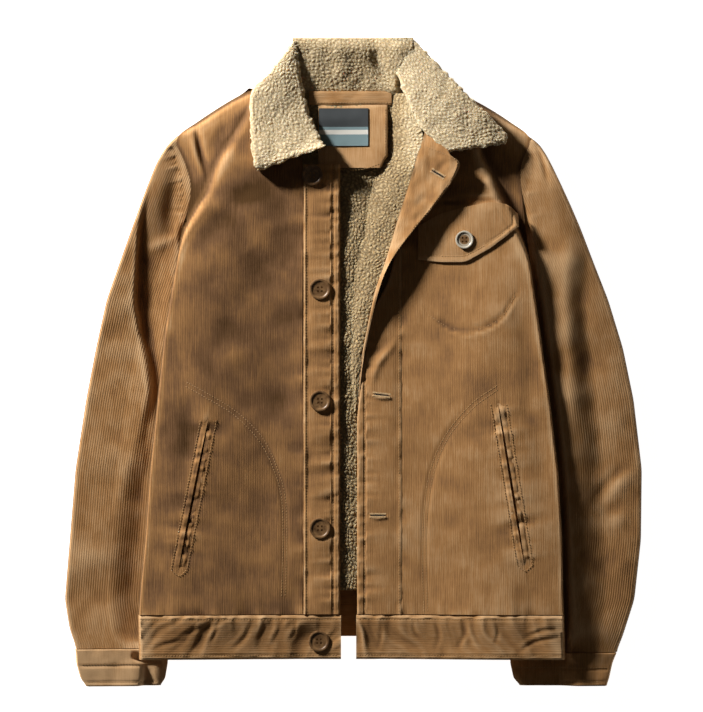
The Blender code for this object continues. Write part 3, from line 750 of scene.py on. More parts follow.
def make_front(side):
    seam = PLACKET_SEAM[side]
    y = two_steps(BODY[0].y, FRONT_FINE_Y, HEM_Y + HEM_GAP)
    outer = column(BODY, side + "_outer", y)
    inner = column(BODY, side + "_inner", y)
    low, high = np.minimum(outer, inner), np.maximum(outer, inner)
    straight = np.sort(seam + SIGN[side] * np.arange(0.0, FRONT_REACH, COLUMN_STEP))[None, :]
    x = np.clip(straight + 1.2 * uneven(y / 70.0, 31), low, high)
    y = np.broadcast_to(y, x.shape)
    z = front_top(x, y)
    points = grid(x, y, z)
    relief = wales(straight - seam, np.minimum(x - low, high - x))
    # Painted shade and light: the panel's painted tone, lighter towards the hem, painted shade along the
    # outer fold, and painted patches; pale wear on ridges and painted shade in hollows.
    nap_bump_and_painted_shade = FRONT_PANEL_PAINTED_SHADE[side] + 0.09 * ease((330.0 - y) / 150.0) - 0.35 * (1.0 - ease(np.abs(outer - x) / 7.0))
    nap_bump_and_painted_shade = nap_bump_and_painted_shade + painted_patches(FRONT_PAINTED_PATCHES, x, y)
    wear_and_painted_shade = nap_bump_and_painted_shade + 0.3 * wear_on_ridges_shade_in_hollows(z, 30) + 0.06 * blotch(x, y, 40.0, 32) + 0.06 * blotch(x, y, 17.0, 33)
    made = cloth("front_" + side, points, relief, wear_and_painted_shade, CLOTH, corduroy)
    sewn = stitches("front_" + side, POCKET_LINES[side], front_top)


for side in SIDES:
    make_front(side)

# %% [markdown]
# The button band and the buttonhole band are doubled strips sewn on at the front edge. Each stands a little
# above the front, with a rounded ridge at its seam, a line of stitching near its free edge, and short
# puckers between the two. Their free edges follow the picture.

# %% Front bands
EdgeRow = namedtuple("EdgeRow", "y edge")
PLACKET_LEFT_EDGE = table(EdgeRow,
    (515, 59), (484, 53), (462, 47), (438, 35), (426, 27), (389, 19.5), (340, 13.4), (292, 8.5), (231, 8.5),
    (145, 8.5), (84, 8.5), (HEM_Y + HEM_GAP, 8.5))
PLACKET_RIGHT_EDGE = -12.0
PLACKET_RIGHT_TOP_Y = 603.0
PLACKET_STITCH = {"right": -20.5, "left": 18.0}
PLACKET_WALL = 3.0
BAND_STEP = 1.7
PLACKET_PUCKERS = table(Pucker,
    ([(-24, 600), (-24, 330), (-24, 56)], 12, 18, 1.3, 41),
    ([(-54, 600), (-54, 330), (-54, 56)], 14, 11, 0.8, 42),
    ([(-15, 600), (-15, 330), (-15, 56)], 5.0, 4, 0.5, 46),
    ([(20, 400), (20, 200), (20, 56)], 12, 13, 1.0, 43),
    ([(12, 400), (12, 200), (12, 56)], 6.5, 4, 0.5, 47),
    ([(60, 510), (60, 300), (60, 56)], 15, 8, 0.5, 44))
PLACKET_CREASES = table(Crease,
    ([(58, 388), (40, 368), (31, 352), (26, 332)], 5, 1.5, -1),
    ([(25, 321.5), (38, 319), (53, 319)], 2.4, 2.0, 0),
    ([(21, 173.5), (34, 172.5), (48, 173.5)], 2.2, 1.6, 0))
PLACKET_LINES = {"right": [[(PLACKET_STITCH["right"], 600), (PLACKET_STITCH["right"], 58)],
                           [(-53.5, 600), (-53.5, 58)]],
                 "left": [[(PLACKET_STITCH["left"], 392), (PLACKET_STITCH["left"], 58)],
                          [(59.5, 502), (59.5, 58)]]}
BUTTONHOLES = [Hole(28, 323.5, 49, 321), Hole(24.5, 175.5, 44, 175.5)]


def placket_top(x, y):
    """Upper face of the two bands: on the front, raised at the seam, sunk at the stitch line."""
    x, y = arrays(x, y)
    height = plain_front(x, y)[0]
    seam = by_side(x, *PLACKET_SEAM.values())
    stitch = by_side(x, *PLACKET_STITCH.values())
    ridge = by_side(x, 1.1, 0.25) * np.exp(-((np.abs(x - seam) - 2.0) / 1.8) ** 2)
    sunk = -0.8 * np.exp(-((x - stitch) / 1.6) ** 2)
    bulge = 0.7 * np.sin(np.pi * np.clip((x - stitch) / (seam - stitch), 0.0, 1.0))
    band = (height + 0.6 + sunk + bulge + pucker_height(PLACKET_PUCKERS, x, y)
            + crease_height(PLACKET_CREASES, x, y))
    sewn = np.exp(-((x - seam) / 7.0) ** 2)
    return band + (front_top(x, y) + 0.3 - band) * sewn + ridge


def make_placket(side):
    seam = PLACKET_SEAM[side]
    top_y = PLACKET_RIGHT_TOP_Y if side == "right" else PLACKET_LEFT_EDGE[0].y
    y = steps(top_y, HEM_Y + HEM_GAP, BAND_STEP)[:, None]
    if side == "right":
        low, high = seam + SEAM_GAP + 0.0 * y, PLACKET_RIGHT_EDGE + 0.0 * y
    else:
        low, high = column(PLACKET_LEFT_EDGE, "edge", y, 5.0), seam - SEAM_GAP + 0.0 * y
    straight = np.arange(low.min(), high.max() + COLUMN_STEP, COLUMN_STEP)[None, :]
    x = np.clip(straight + 0.5 * uneven(y / 40.0, 45), low, high)
    y = np.broadcast_to(y, x.shape)
    z = placket_top(x, y)
    edge = np.minimum(x - low, high - x)
    z = z - np.where(np.abs(x - seam) < 6.0, 0.3, 1.2) * (1.0 - roll(edge, 2.5))
    points = grid(x, y, z)
    # Pale wear on ridges and at the edges, painted shade in hollows.
    wear_and_painted_shade = 0.04 + 0.3 * wear_on_ridges_shade_in_hollows(z, 20) + 0.25 * np.exp(-edge / 2.0)
    made = cloth("placket_" + side, points, wales(straight - seam, edge), wear_and_painted_shade, PLACKET_WALL, corduroy)
    extras = [stitches("placket_" + side, PLACKET_LINES[side], placket_top)]
    for number, hole in enumerate(BUTTONHOLES if side == "left" else [], start=1):
        extras += buttonhole(f"buttonhole_{number}", hole, placket_top)


for side in SIDES:
    make_placket(side)

# %% [markdown]
# The waistband goes round the hem with its wales lying across, so its grid is turned: many rows, four to a
# wale, and few columns. It is two layers of cloth, and its stitching draws it into slanting wrinkles.

# %% Waistband
BAND_WALL = 4.0
BAND_INNER = {"right": -11.0, "left": 7.5}
BAND_STITCHES = (49.0, 5.0)
BAND_CREASES = table(Crease,
    ([(-240, 12), (-222, 20), (-200, 24)], 3.0, -0.5, 1),
    ([(-212, 24), (-190, 36), (-164, 42)], 3.4, -0.5, 1),
    ([(-160, 50), (-163, 34), (-170, 20)], 2.6, -0.6, -1),
    ([(-119, 50), (-126, 30), (-142, 12)], 3.0, -0.5, -1),
    ([(-104, 50), (-106, 38), (-112, 24)], 2.4, -0.6, -1),
    ([(-79, 50), (-88, 33), (-96, 14)], 3.0, -0.55, -1),
    ([(-66, 48), (-68, 34), (-74, 22)], 2.4, -0.6, 1),
    ([(36, 48), (38, 30), (34, 12)], 2.6, -0.5, 1),
    ([(76, 50), (80, 32), (92, 18)], 2.6, -0.6, 1),
    ([(101, 50), (108, 30), (104, 10)], 2.8, -0.55, 1),
    ([(134, 50), (140, 34), (130, 12)], 3.0, -0.6, 1),
    ([(176, 50), (180, 34), (176, 18)], 2.4, -0.5, -1),
    ([(206, 10), (226, 22), (258, 28)], 3.0, -0.7, 1),
    ([(214, 28), (234, 36), (254, 38)], 2.6, -0.5, 1))
BAND_PUCKERS = table(Pucker,
    ([(-257, 51), (-12, 51)], 10, 11, 0.8, 51),
    ([(-257, 4), (-12, 4)], 15, 8, 0.45, 52),
    ([(8, 51), (262, 51)], 10, 11, 0.8, 53),
    ([(8, 4), (262, 4)], 15, 8, 0.45, 54))


def band_wrinkles(x, y):
    """Soft slanting wrinkles, deepest half way down the band."""
    slant = by_side(x, x - 0.7 * y, x + 0.5 * y)
    drift = 0.9 * blotch(x, y, 34.0, 56)
    swing = uneven(slant / 15.0 + drift, 57) + 0.5 * uneven(slant / 7.5 + 2.0 * drift, 58)
    depth = by_side(x, 1.2, 1.4)
    return depth * swing * (0.35 + 0.65 * np.sin(np.pi * np.clip(y / HEM_Y, 0.0, 1.0)))


def band_top(x, y):
    """Upper face of the front waistbands."""
    x, y = arrays(x, y)
    height, share = plain_front(x, y)
    edge = np.minimum(y, HEM_Y - y)
    rounded = 1.6 * roll(edge, 5.0) - 0.5 * np.exp(-((edge - 5.0) / 1.6) ** 2)
    return height + rounded + share * (crease_height(BAND_CREASES, x, y) + pucker_height(BAND_PUCKERS, x, y)
                                       + band_wrinkles(x, y))


def make_band(side):
    y = np.arange(HEM_Y, -0.01, -COLUMN_STEP)[:, None]
    outer = column(BODY, side + "_outer", y)
    inner = BAND_INNER[side]
    t = np.concatenate([[0.0, 0.006, 0.014, 0.025, 0.038, 0.052], np.linspace(0.068, 1.0, 127)])[None, :]
    x = np.sort(outer + (inner - outer) * t, axis=1)
    y = np.broadcast_to(y, x.shape)
    z = band_top(x, y)
    points = grid(x, y, z)
    edge = np.minimum(np.minimum(y, HEM_Y - y), np.abs(x - inner))
    # Pale wear on ridges and at the edges, painted shade in hollows.
    wear_and_painted_shade = 0.1 + 0.3 * wear_on_ridges_shade_in_hollows(z, 20) + 0.3 * np.exp(-edge / 2.0)
    made = cloth("waistband_" + side, points, wales(y, edge), wear_and_painted_shade, BAND_WALL, corduroy_across)
    ends = sorted((inner * 1.3, float(outer[20, 0]) * 0.985))
    lines = [[(end, level) for end in ends] for level in BAND_STITCHES]
    stitches("waistband_" + side, lines, band_top)


for side in SIDES:
    make_band(side)

# %% [markdown]
# The back lies under everything, flat on the surface, and only its waistband and its pile show, in the
# gap of the front. It is a plainer sheet, with a few shallow troughs where it lifts off the surface.

# %% Back
BACK_CREASES = table(Crease,
    ([(-120, 560), (-60, 420), (-70, 300)], 16, 1.2, 0),
    ([(90, 600), (120, 430)], 18, 1.0, 0),
    ([(-40, 260), (10, 120)], 14, 1.1, 0),
    ([(130, 300), (100, 150)], 16, 1.2, 0),
    ([(-150, 230), (-120, 110)], 14, 0.9, 0))


def back_grid(y, margin, wall):
    """Points of the back's upper face between its outer edges, less a margin at each side."""
    low = column(BODY, "right_outer", y) + margin
    high = column(BODY, "left_outer", y) - margin
    t = 0.5 - 0.5 * np.cos(np.pi * np.linspace(0.0, 1.0, 73))[None, :]
    x = low + (high - low) * t
    y = np.broadcast_to(y, x.shape)
    return grid(x, y, back_height(x, y) + crease_height(BACK_CREASES, x, y) + wall)


HIDDEN_WEAR = 0.05
points = back_grid(steps(NECK_Y, BACK_HEM_Y, 9.0)[:, None], 0.0, CLOTH)
made = cloth("back", points, 0.0, HIDDEN_WEAR, CLOTH, corduroy_hidden, 1)
points = back_grid(steps(BACK_HEM_Y - SEAM_GAP, BACK_BAND_END_Y, 1.4)[:, None], 6.0, BAND_WALL)
made = cloth("waistband_back", points, wales(points[..., 1], 9.0), HIDDEN_WEAR, BAND_WALL, corduroy_across, 1)

# %% [markdown]
# A sleeve is an upper and an under panel. The wales of the upper one run with its outer fold, so its
# columns keep their distance from that edge. Each lies high on one side and falls away to the other, and the
# line of the fall is read from the edge of light and shade in the picture.

# %% Sleeves
# Each sleeve falls away towards +X, steeply where it was folded: where the fall ends, its width and drop.
FallRow = namedtuple("FallRow", "y foot width drop")
SLEEVE_FALL = {
    "right": table(FallRow,
        (640, -214, 10, 0), (600, -236, 10, 2), (560, -245, 9, 4), (523, -252, 9, 5.5), (487, -254, 9, 6.5),
        (438, -255, 11, 8), (401, -248, 13, 8), (365, -237, 15, 8), (328, -232, 16, 7), (280, -236, 24, 5),
        (220, -246, 34, 5.5), (160, -252, 44, 7.5), (96, -256, 42, 9), (50, -258, 36, 9), (24, -256, 34, 7),
        (8, -238, 28, 3)),
    "left": table(FallRow,
        (560, 310, 44, 0), (520, 300, 40, 3), (487, 294, 34, 6), (438, 288, 28, 7.5), (389, 293, 30, 8),
        (316, 303, 36, 8.5), (243, 311, 42, 8), (170, 312, 44, 8), (96, 314, 44, 8), (30, 310, 42, 6),
        (4, 306, 40, 2)),
}
# Painted shade in patches on the left sleeve.
SLEEVE_PAINTED_PATCHES = table(Patch,
    (322, 96, 40, 45, -0.15), (345, 300, 14, 160, -0.06))
# Rows stand closer above this height, for the puckers of the armhole.
SLEEVE_FINE_Y = 506.0
SLEEVE_REACH = 162.0
# Painted light: each sleeve panel is painted lighter, for the light it takes.
SLEEVE_PANEL_PAINTED_LIGHT = {"right": 0.12, "left": 0.14}
LEFT_SLEEVE_LOW = 13.0
TUCK = 5.0
TUCK_DROP = {"right": 2.2, "left": 0.8}
SLEEVE_CREASES = table(Crease,
    ([(-212, 600), (-216, 570), (-220, 540), (-218, 512)], 10, -2.8, 0),
    ([(-248, 500), (-228, 507), (-206, 516)], 7, 1.3, 0),
    ([(346, 240), (322, 222), (300, 196)], 7, -1.2, 1),
    ([(338, 190), (310, 176)], 8, -0.9, 1),
    ([(228, 626), (236, 604), (242, 580)], 3.5, -1.4, 0))
SLEEVE_PUCKERS = table(Pucker,
    ([(-220, 630), (-209, 596), (-203, 560), (-206, 532)], 5, 8, 0.85, 63),
    ([(228, 626), (217, 592), (217, 560), (221, 536)], 5, 8, 0.5, 65))


def sleeve_top(side, x, y):
    """Upper face of a sleeve: full beside the body, pressed flat under it."""
    x, y = arrays(x, y)
    sign = SIGN[side]
    outer, inner = (sign * column(SLEEVE[side], name, y) for name in ("outer", "inner"))
    across = sign * x
    at_cuff = ease((2.0 - y) / 10.0)
    cover = sign * column(BODY, side + "_outer", y) - 12.0 * at_cuff
    ramp = 10.0 + (30.0 if side == "left" else 0.0) * at_cuff
    free = ease((across - cover - 1.0) / ramp)
    foot, width, drop = (column(SLEEVE_FALL[side], name, y) for name in ("foot", "width", "drop"))
    fallen = drop * ease((x - foot + width) / width)
    if side == "right":
        full = SLEEVE_HEIGHT - 0.09 * np.clip(outer - across, 0.0, 50.0) - fallen
    else:
        swell = 2.0 * np.sin(np.pi * np.clip((outer - across) / 60.0, 0.0, 0.5))
        full = LEFT_SLEEVE_LOW + drop - fallen + swell
    pressed = np.minimum(SLEEVE_PRESSED - 7.0 * ease((10.0 - y) / 14.0), full)
    beside = pressed + (full - pressed) * free
    cap = ARMHOLE_LEVEL + (SLEEVE_HEIGHT - ARMHOLE_LEVEL) * ease((across - inner) / 45.0)
    below = ease((UNDERARM_Y + 30.0 - y) / 80.0)
    top = cap * (1.0 - below) + beside * below
    tucked = ease((536.0 - y) / 30.0)
    inner_roll = 1.0 - tucked + tucked * roll(across - inner, SLEEVE_INNER_ROLL)
    rolled = roll(outer - across, SLEEVE_ROLL) * inner_roll
    soft = 0.8 * blotch(x, y, 40.0, 61) + 0.4 * blotch(x, y, 18.0, 62) + pucker_height(SLEEVE_PUCKERS, x, y)
    return FOLD_FOOT + (top + (crease_height(SLEEVE_CREASES, x, y) + soft) * free - FOLD_FOOT) * rolled


def make_sleeve(side):
    rows, sign = SLEEVE[side], SIGN[side]
    y = two_steps(rows[0].y, SLEEVE_FINE_Y, rows[-1].y)
    outer = column(rows, "outer", y, 6.0)
    inner = column(rows, "inner", y, 6.0) - sign * TUCK * ease((y - UNDERARM_Y + 30.0) / 20.0)
    low, high = np.minimum(outer, inner), np.maximum(outer, inner)
    offset = np.arange(0.0, SLEEVE_REACH, COLUMN_STEP)[None, :]
    x = np.sort(np.clip(outer - sign * offset, low, high), axis=1)
    y = np.broadcast_to(y, x.shape)
    under_front = sign * (column(BODY, side + "_outer", y) - x) + 1.0
    tuck = TUCK_DROP[side] * ease(under_front / TUCK) * ease((y - UNDERARM_Y + 40.0) / 20.0)
    z = sleeve_top(side, x, y) - tuck
    z = z - (z - FOLD_FOOT) * ease((y - 630.0) / 20.0)
    points = grid(x, y, z)
    relief = 2.2 * wales(x - outer, np.minimum(x - low, high - x))
    name = f"sleeve_{side}_upper"
    # Painted shade along the outer fold and in patches, on the panel's painted light, with pale wear on
    # ridges and painted shade in hollows.
    nap_bump_and_painted_shade = SLEEVE_PANEL_PAINTED_LIGHT[side] - 0.4 * (1.0 - ease(np.abs(outer - x) / 8.0)) + painted_patches(SLEEVE_PAINTED_PATCHES, x, y)
    made = cloth(name, points, relief, nap_bump_and_painted_shade + 0.35 * wear_on_ridges_shade_in_hollows(z, 30), CLOTH, corduroy)
    under = points[::2, ::8].copy()
    under[..., 2] = CLOTH
    flat = cloth(f"sleeve_{side}_under", under, 0.0, HIDDEN_WEAR, CLOTH, corduroy_hidden, 1)


for side in SIDES:
    make_sleeve(side)

# %% [markdown]
# A cuff is a tube, pressed flat: its ring runs over the top and back along the underside. Solidify turns
# the tube into a wall, and two grooves mark the lines of its stitching.

# %% Cuffs
# Painted light on the right cuff, and painted shade on the left cuff, which lies in the waistband's shadow.
CUFF_PAINTED_LIGHT_AND_SHADE = {"right": 0.44, "left": 0.08}
CUFF_COLUMNS = 121
CUFF_UNDER_COLUMNS = 21


def make_cuff(side):
    rows = CUFF[side]
    y = steps(rows[0].y, rows[-1].y, 1.6)[:, None]
    outer, inner = column(rows, "outer", y, 2.0), column(rows, "inner", y, 2.0)
    low, high = np.minimum(outer, inner), np.maximum(outer, inner)
    over = 0.5 - 0.5 * np.cos(np.pi * np.linspace(0.0, 1.0, CUFF_COLUMNS))[None, :]
    end = SLEEVE[side][-1]
    x = low + (high - low) * over
    stretched = end.inner + (x - inner) * (end.outer - end.inner) / (outer - inner)
    y = np.broadcast_to(y, x.shape)
    z = sleeve_top(side, stretched, y) + 1.0
    groove = -0.9 * np.exp(-((y - rows[0].y + 20.0) / 1.5) ** 2) - 0.7 * np.exp(-((y + 28.0) / 1.3) ** 2)
    soft = 0.5 * blotch(x, y, 12.0, 71) + 0.4 * blotch(x, y, 26.0, 72)
    z = z + (groove + soft) * ease((x - low) / 12.0) * ease((high - x) / 12.0)
    back = np.linspace(0.985, 0.015, CUFF_UNDER_COLUMNS)[None, :]
    points = np.hstack([grid(x, y, z), grid(low + (high - low) * back, y[:, :1], 0.0)])
    points = np.concatenate([points, points[:, :1]], axis=1)
    index = np.arange(points.shape[0] * points.shape[1]).reshape(points.shape[:2])
    wear_and_painted_shade = np.full(index.shape, CUFF_PAINTED_LIGHT_AND_SHADE[side])
    mesh = merged_mesh(f"cuff_{side}_cloth", points.reshape(-1, 3), quads(index), wear_and_painted_shade)
    made = add_piece(f"cuff_{side}_cloth", mesh, corduroy, [f"cuff_{side}"])
    thick = made.modifiers.new("wall", "SOLIDIFY")
    thick.thickness = CLOTH * MM
    thick.offset = -1.0
    bpy.ops.object.modifier_apply(modifier="wall")
    inset = -8.0 * SIGN[side]
    lines = [[(float(outer[row, 0]) + inset, level), (float(inner[row, 0]) - inset, level)]
             for row, level in ((8, rows[0].y - 18.0), (24, -28.0))]
    sewn = stitches("cuff_" + side, lines, resting_on(points[:, :CUFF_COLUMNS]))


for side in SIDES:
    make_cuff(side)

# %% [markdown]
# The collar, the turned lapel and its facing are held up by their own stiffness. Each is drawn as sections
# from its edge a to its edge b with the height of its face, joined by smooth curves.

# %% Collar and lapel shapes
Section = namedtuple("Section", "ax ay az bx by bz")
WING_RIGHT = table(Section,
    (-71, 754, 14, -64, 754, 17), (-95, 721, 22, -62, 728, 21), (-120, 688, 30, -57, 700, 22),
    (-121, 645, 34, -49, 664, 25), (-118, 609, 38, -35, 633, 33), (-112, 594, 38, -30, 625, 43))
WING_LEFT = table(Section,
    (46, 757.5, 17.5, 76, 758, 21), (52, 726, 19.5, 112, 720, 29), (65, 692, 27, 148, 682, 33),
    (76, 664, 32, 172, 659, 33), (92, 641, 37, 191, 638, 31), (118, 616, 42, 188, 628, 31))
LAPEL_STRIP = table(Section,
    (54, 690, 12.5, 74, 689, 26), (50, 660, 12.5, 84, 654, 32), (46, 625, 12.5, 88, 634, 34),
    (36, 600, 12.5, 79, 606, 34), (26, 572, 13.5, 70.4, 576, 33), (16, 530, 16.5, 59.4, 542, 32),
    (7, 490, 17.8, 49.6, 508, 32), (2, 450, 17.6, 41, 480, 32), (-1, 415, 17.2, 30.5, 450, 31),
    (-1, 385, 16.8, 22.5, 414, 28), (0, 350, 16.4, 13.4, 365, 24), (4, 300, 15.8, 9, 306, 20))
LAPEL_FACING = table(Section,
    (93, 650, 30, 122, 636, 33), (88.4, 634, 35, 121, 615, 44), (79.4, 606, 35, 133, 601, 44),
    (70.8, 576, 34, 116, 570, 42), (59.8, 542, 34, 89, 536, 41), (50, 508, 34, 62, 503, 41),
    (41.4, 480, 34, 46, 478, 41), (30.9, 450, 33, 35, 449, 37), (22.9, 414, 30, 26, 413, 32),
    (13.8, 365, 25, 16.2, 364.5, 27), (9, 315, 21, 10.5, 315, 22.5))


def free_grid(table, across, per_span, crown):
    """Points of a free piece, smooth along it and softly crowned across it."""
    a = curve([(s.ax, s.ay, s.az) for s in table], per_span)[:, None, :]
    b = curve([(s.bx, s.by, s.bz) for s in table], per_span)[:, None, :]
    t = np.linspace(0.0, 1.0, across)[None, :, None]
    points = a + (b - a) * t
    points[..., 2] += crown * np.sin(np.pi * t[..., 0])
    return points


print("free pieces ready")

# %% [markdown]
# The pile stands in soft nubs, packed side by side with shallow valleys between. Each nub is the ground
# nearest to one of many scattered points, and the valleys run where two points are equally far. The nubs are
# real relief on a fine grid, roughened by a little random fuzz, and free outlines sway unevenly.

# %% Pile of nubs
COLLAR_NUB = 4.9
LINING_NUB = 4.7
NUB_HEIGHT = {COLLAR_NUB: 0.9, LINING_NUB: 1.4}
FUZZ = 0.3
# The values are valley and top; the valleys are painted darker, as painted shade between the nubs. The
# lining is darker than the collar.
COLLAR_SHADES = (0.54, 0.86)
# The collar's back is painted darker than its wings: painted shade, for the standing back that faces away
# from the light.
COLLAR_BACK_PAINTED_SHADE = (0.33, 0.66)
LINING_SHADES = (0.04, 0.28)


def nubs(x, y, size, seed):
    """Height of the pile, from 0 in the valleys to 1 on the nubs."""
    random = np.random.default_rng(seed)
    spots = random.uniform(0.08, 0.92, (64, 64, 2))
    tall = random.uniform(0.65, 1.0, (64, 64))
    u = (x + 2.8 * blotch(x, y, 10.0, seed + 1)) / size
    v = (y + 2.8 * blotch(x, y, 10.0, seed + 2)) / (0.9 * size)
    i, j = np.floor(u).astype(int), np.floor(v).astype(int)
    nearest = np.full(u.shape, 9.0)
    second = nearest.copy()
    height = np.zeros(u.shape)
    for di in (-1, 0, 1):
        for dj in (-1, 0, 1):
            a, b = (i + di) % 64, (j + dj) % 64
            away = np.hypot(i + di + spots[a, b, 0] - u, j + dj + spots[a, b, 1] - v)
            closer = away < nearest
            second = np.where(closer, nearest, np.minimum(second, away))
            height = np.where(closer, tall[a, b], height)
            nearest = np.where(closer, away, nearest)
    return height * ease((second - nearest) / 0.65) * (1.0 - 0.35 * nearest ** 2)


def softened_edges(points, seed):
    """Round the long edges and the last end of a pile grid, and make its outline uneven."""
    points = points.copy()
    across = points[:, -1] - points[:, 0]
    width = np.linalg.norm(across, axis=1)[:, None]
    share = np.linspace(0.0, 1.0, points.shape[1])[None, :]
    length = np.cumsum(np.linalg.norm(np.diff(points, axis=0, prepend=points[:1]), axis=2), axis=0)
    edge = np.minimum(np.minimum(share, 1.0 - share) * width, length[-1] - length)
    sway = ease(1.0 - edge / 6.0) * 1.3
    points[..., 0] += sway * uneven(length / 4.2 + 40.0 * np.round(share), seed)
    points[..., 1] += sway * uneven(share * width / 4.2 + length / 5.0, seed + 1)
    points[..., 2] -= 2.2 * (1.0 - roll(edge, 5.0))
    return points


def pile_cloth(name, points, wall, seed, size, shades, nodes=None):
    """A pile sheet with nubs on its face, which lies in soft lumps."""
    x, y = points[..., 0], points[..., 1]
    nub = nubs(x, y, size, seed)
    lumps = 0.7 * blotch(x, y, 13.0, seed + 5)
    # The valleys between the nubs are painted darker than the tops: painted shade.
    shade = shades[0] + (shades[1] - shades[0]) * nub
    # The lining is paler where it comes up to the left wing of the collar.
    if shades == LINING_SHADES:
        shade = shade + 0.4 * ease((y - 555.0) / 70.0) * ease((x - 54.0) / 24.0)
    fuzz = np.random.default_rng(seed + 9).uniform(-1.0, 1.0, x.shape)
    relief = NUB_HEIGHT[size] * nub + lumps + FUZZ * fuzz
    return cloth(name, points, relief, shade + 0.08 * fuzz, wall, pile, nodes=nodes)


def pile_piece(name, points, wall, seed, size=COLLAR_NUB, shades=COLLAR_SHADES):
    pile_cloth(name, points, wall, seed, size, shades)


COLLAR_TOP_Y = 758.0
COLLAR_BACK_RIGHT = -70.0
COLLAR_BACK_LEFT = 76.0
COLLAR_BACK_HEIGHT = 11.0
COLLAR_STAND = 8.0
COLLAR_CREASES = table(Crease,
    ([(30, 746), (35, 726), (50, 708), (66, 698)], 7, -5, 0),
    ([(-20, 752), (-8, 728), (-12, 700)], 12, 2, 0))
collar_y = steps(COLLAR_TOP_Y, NECK_Y - 2.0, 1.0)[:, None]
collar_x = steps(COLLAR_BACK_RIGHT, COLLAR_BACK_LEFT, 1.0)[None, :]
collar_x, collar_y = arrays(collar_x, collar_y)
collar_stand = COLLAR_STAND * (collar_y - NECK_Y) / (COLLAR_TOP_Y - NECK_Y)
collar_turn = 7.0 * ease((collar_x - 28.0) / 36.0)
collar_turn = collar_turn - 9.0 * ease((collar_x - 54.0) / 10.0) * ease((722.0 - collar_y) / 22.0)
collar_z = COLLAR_BACK_HEIGHT + collar_stand + collar_turn + crease_height(COLLAR_CREASES, collar_x, collar_y)
collar_z = collar_z - 5.0 * (1.0 - roll(COLLAR_TOP_Y - collar_y, 14.0))
collar_z = collar_z - 3.0 * (1.0 - roll(collar_y - NECK_Y + 2.0, 6.0))
pile_piece("collar_back", grid(collar_x, collar_y, collar_z), 6.0, 81, shades=COLLAR_BACK_PAINTED_SHADE)
wing = softened_edges(free_grid(WING_RIGHT, 89, 30, 2.5), 181)
pile_piece("collar_wing_right", wing, 9.0, 82)
wing = softened_edges(free_grid(WING_LEFT, 105, 30, 2.5), 183)
pile_piece("collar_wing_left", wing, 7.0, 83)
strip = free_grid(LAPEL_STRIP, 41, 30, 2.0)
pile_piece("lapel_strip", strip, 5.0, 84, LINING_NUB, LINING_SHADES)

# %% [markdown]
# The pile linings lie between the back and the fronts. Only the back one shows, in the neck and down the
# gap of the front, so only that stretch of it carries nubs, on a face of its own.

# %% Linings
BACK_PILE = 9.0
FRONT_PILE = 6.0
LINING_SIDE_MARGIN = 36.0
FOLD_MARGIN = 20.0
LINING_TOP = CLOTH + SEAM_GAP + BACK_PILE
HIDDEN_PILE = 0.2
# The back lining's columns stand closer between these two places.
GAP_RIGHT, GAP_LEFT, GAP_STEP = -64.0, 84.0, 4.0
OPENING_RIGHT = table(EdgeRow,
    (691, -52), (612, -52), (598, -14), (84, -14))
OPENING_LEFT = table(EdgeRow,
    (691, 60), (621, 54), (572, 36), (490, 18), (450, 13), (415, 12), (350, 13), (84, 13))


def opening_height(x, y):
    """How high the pile swells in the opening of the front, climbing towards the lapel."""
    low, high = column(OPENING_RIGHT, "edge", y), column(OPENING_LEFT, "edge", y)
    inside = ease((x - low + 10.0) / 10.0) * ease((high + 10.0 - x) / 10.0)
    climb = 0.10 * (x + 10.0) * ease((y - 330.0) / 60.0)
    return inside * (5.0 + climb) * ease((600.0 - y) / 110.0)


def make_back_lining():
    y = steps(NECK_Y - 2.0, BACK_HEM_Y + 2.0, 1.1)[:, None]
    low, high = column(OPENING_RIGHT, "edge", y), column(OPENING_LEFT, "edge", y)
    x = low + (high - low) * np.linspace(0.0, 1.0, 61)[None, :]
    face = grid(x, y, LINING_TOP + opening_height(x, np.broadcast_to(y, x.shape)) + 1.2)
    shown = pile_cloth("back_lining_face", face, 1.0, 85, LINING_NUB, LINING_SHADES, ())
    y = steps(NECK_Y, BACK_HEM_Y, 8.0)[:, None]
    low = column(BODY, "right_outer", y) + LINING_SIDE_MARGIN
    high = column(BODY, "left_outer", y) - LINING_SIDE_MARGIN
    spread = np.linspace(0.0, 1.0, 15)[None, :]
    middle = steps(GAP_RIGHT + GAP_STEP, GAP_LEFT - GAP_STEP, GAP_STEP) + 0.0 * y
    x = np.hstack([low + (GAP_RIGHT - low) * spread, middle, GAP_LEFT + (high - GAP_LEFT) * spread])
    y = np.broadcast_to(y, x.shape)
    z = LINING_TOP + back_height(x, y) + crease_height(BACK_CREASES, x, y) + opening_height(x, y)
    points = grid(x, y, z)
    made = cloth("back_lining", points, 0.0, HIDDEN_PILE, BACK_PILE, pile, 1)


def make_front_lining(side):
    y = steps(630.0, HEM_Y + 2.0 * HEM_GAP, 9.0)[:, None]
    fold = np.abs(column(BODY, side + "_fold", y))
    inner = np.abs(column(BODY, side + "_inner", y)) + (2.0 if side == "right" else 4.0)
    t = np.linspace(0.0, 1.0, 25)[None, :]
    x = np.sort(SIGN[side] * (inner + (fold - FOLD_MARGIN - inner) * t), axis=1)
    y = np.broadcast_to(y, x.shape)
    lowest = np.minimum(plain_front(x, y)[0], front_top(x, y))
    points = grid(x, y, lowest - CLOTH - LYING_GAP)
    made = cloth("front_lining_" + side, points, 0.0, HIDDEN_PILE, FRONT_PILE - 1.0, pile, 1)


make_back_lining()
for side in SIDES:
    make_front_lining(side)

# %% [markdown]
# Inside the back neck lie a corduroy strip along the seam, a patch under it, and the woven label. The patch
# is sewn along its top only, so its lower right corner stands off the pile and throws a shadow. The label
# is plain: bands in the colours of woven slate, grey-blue and white.

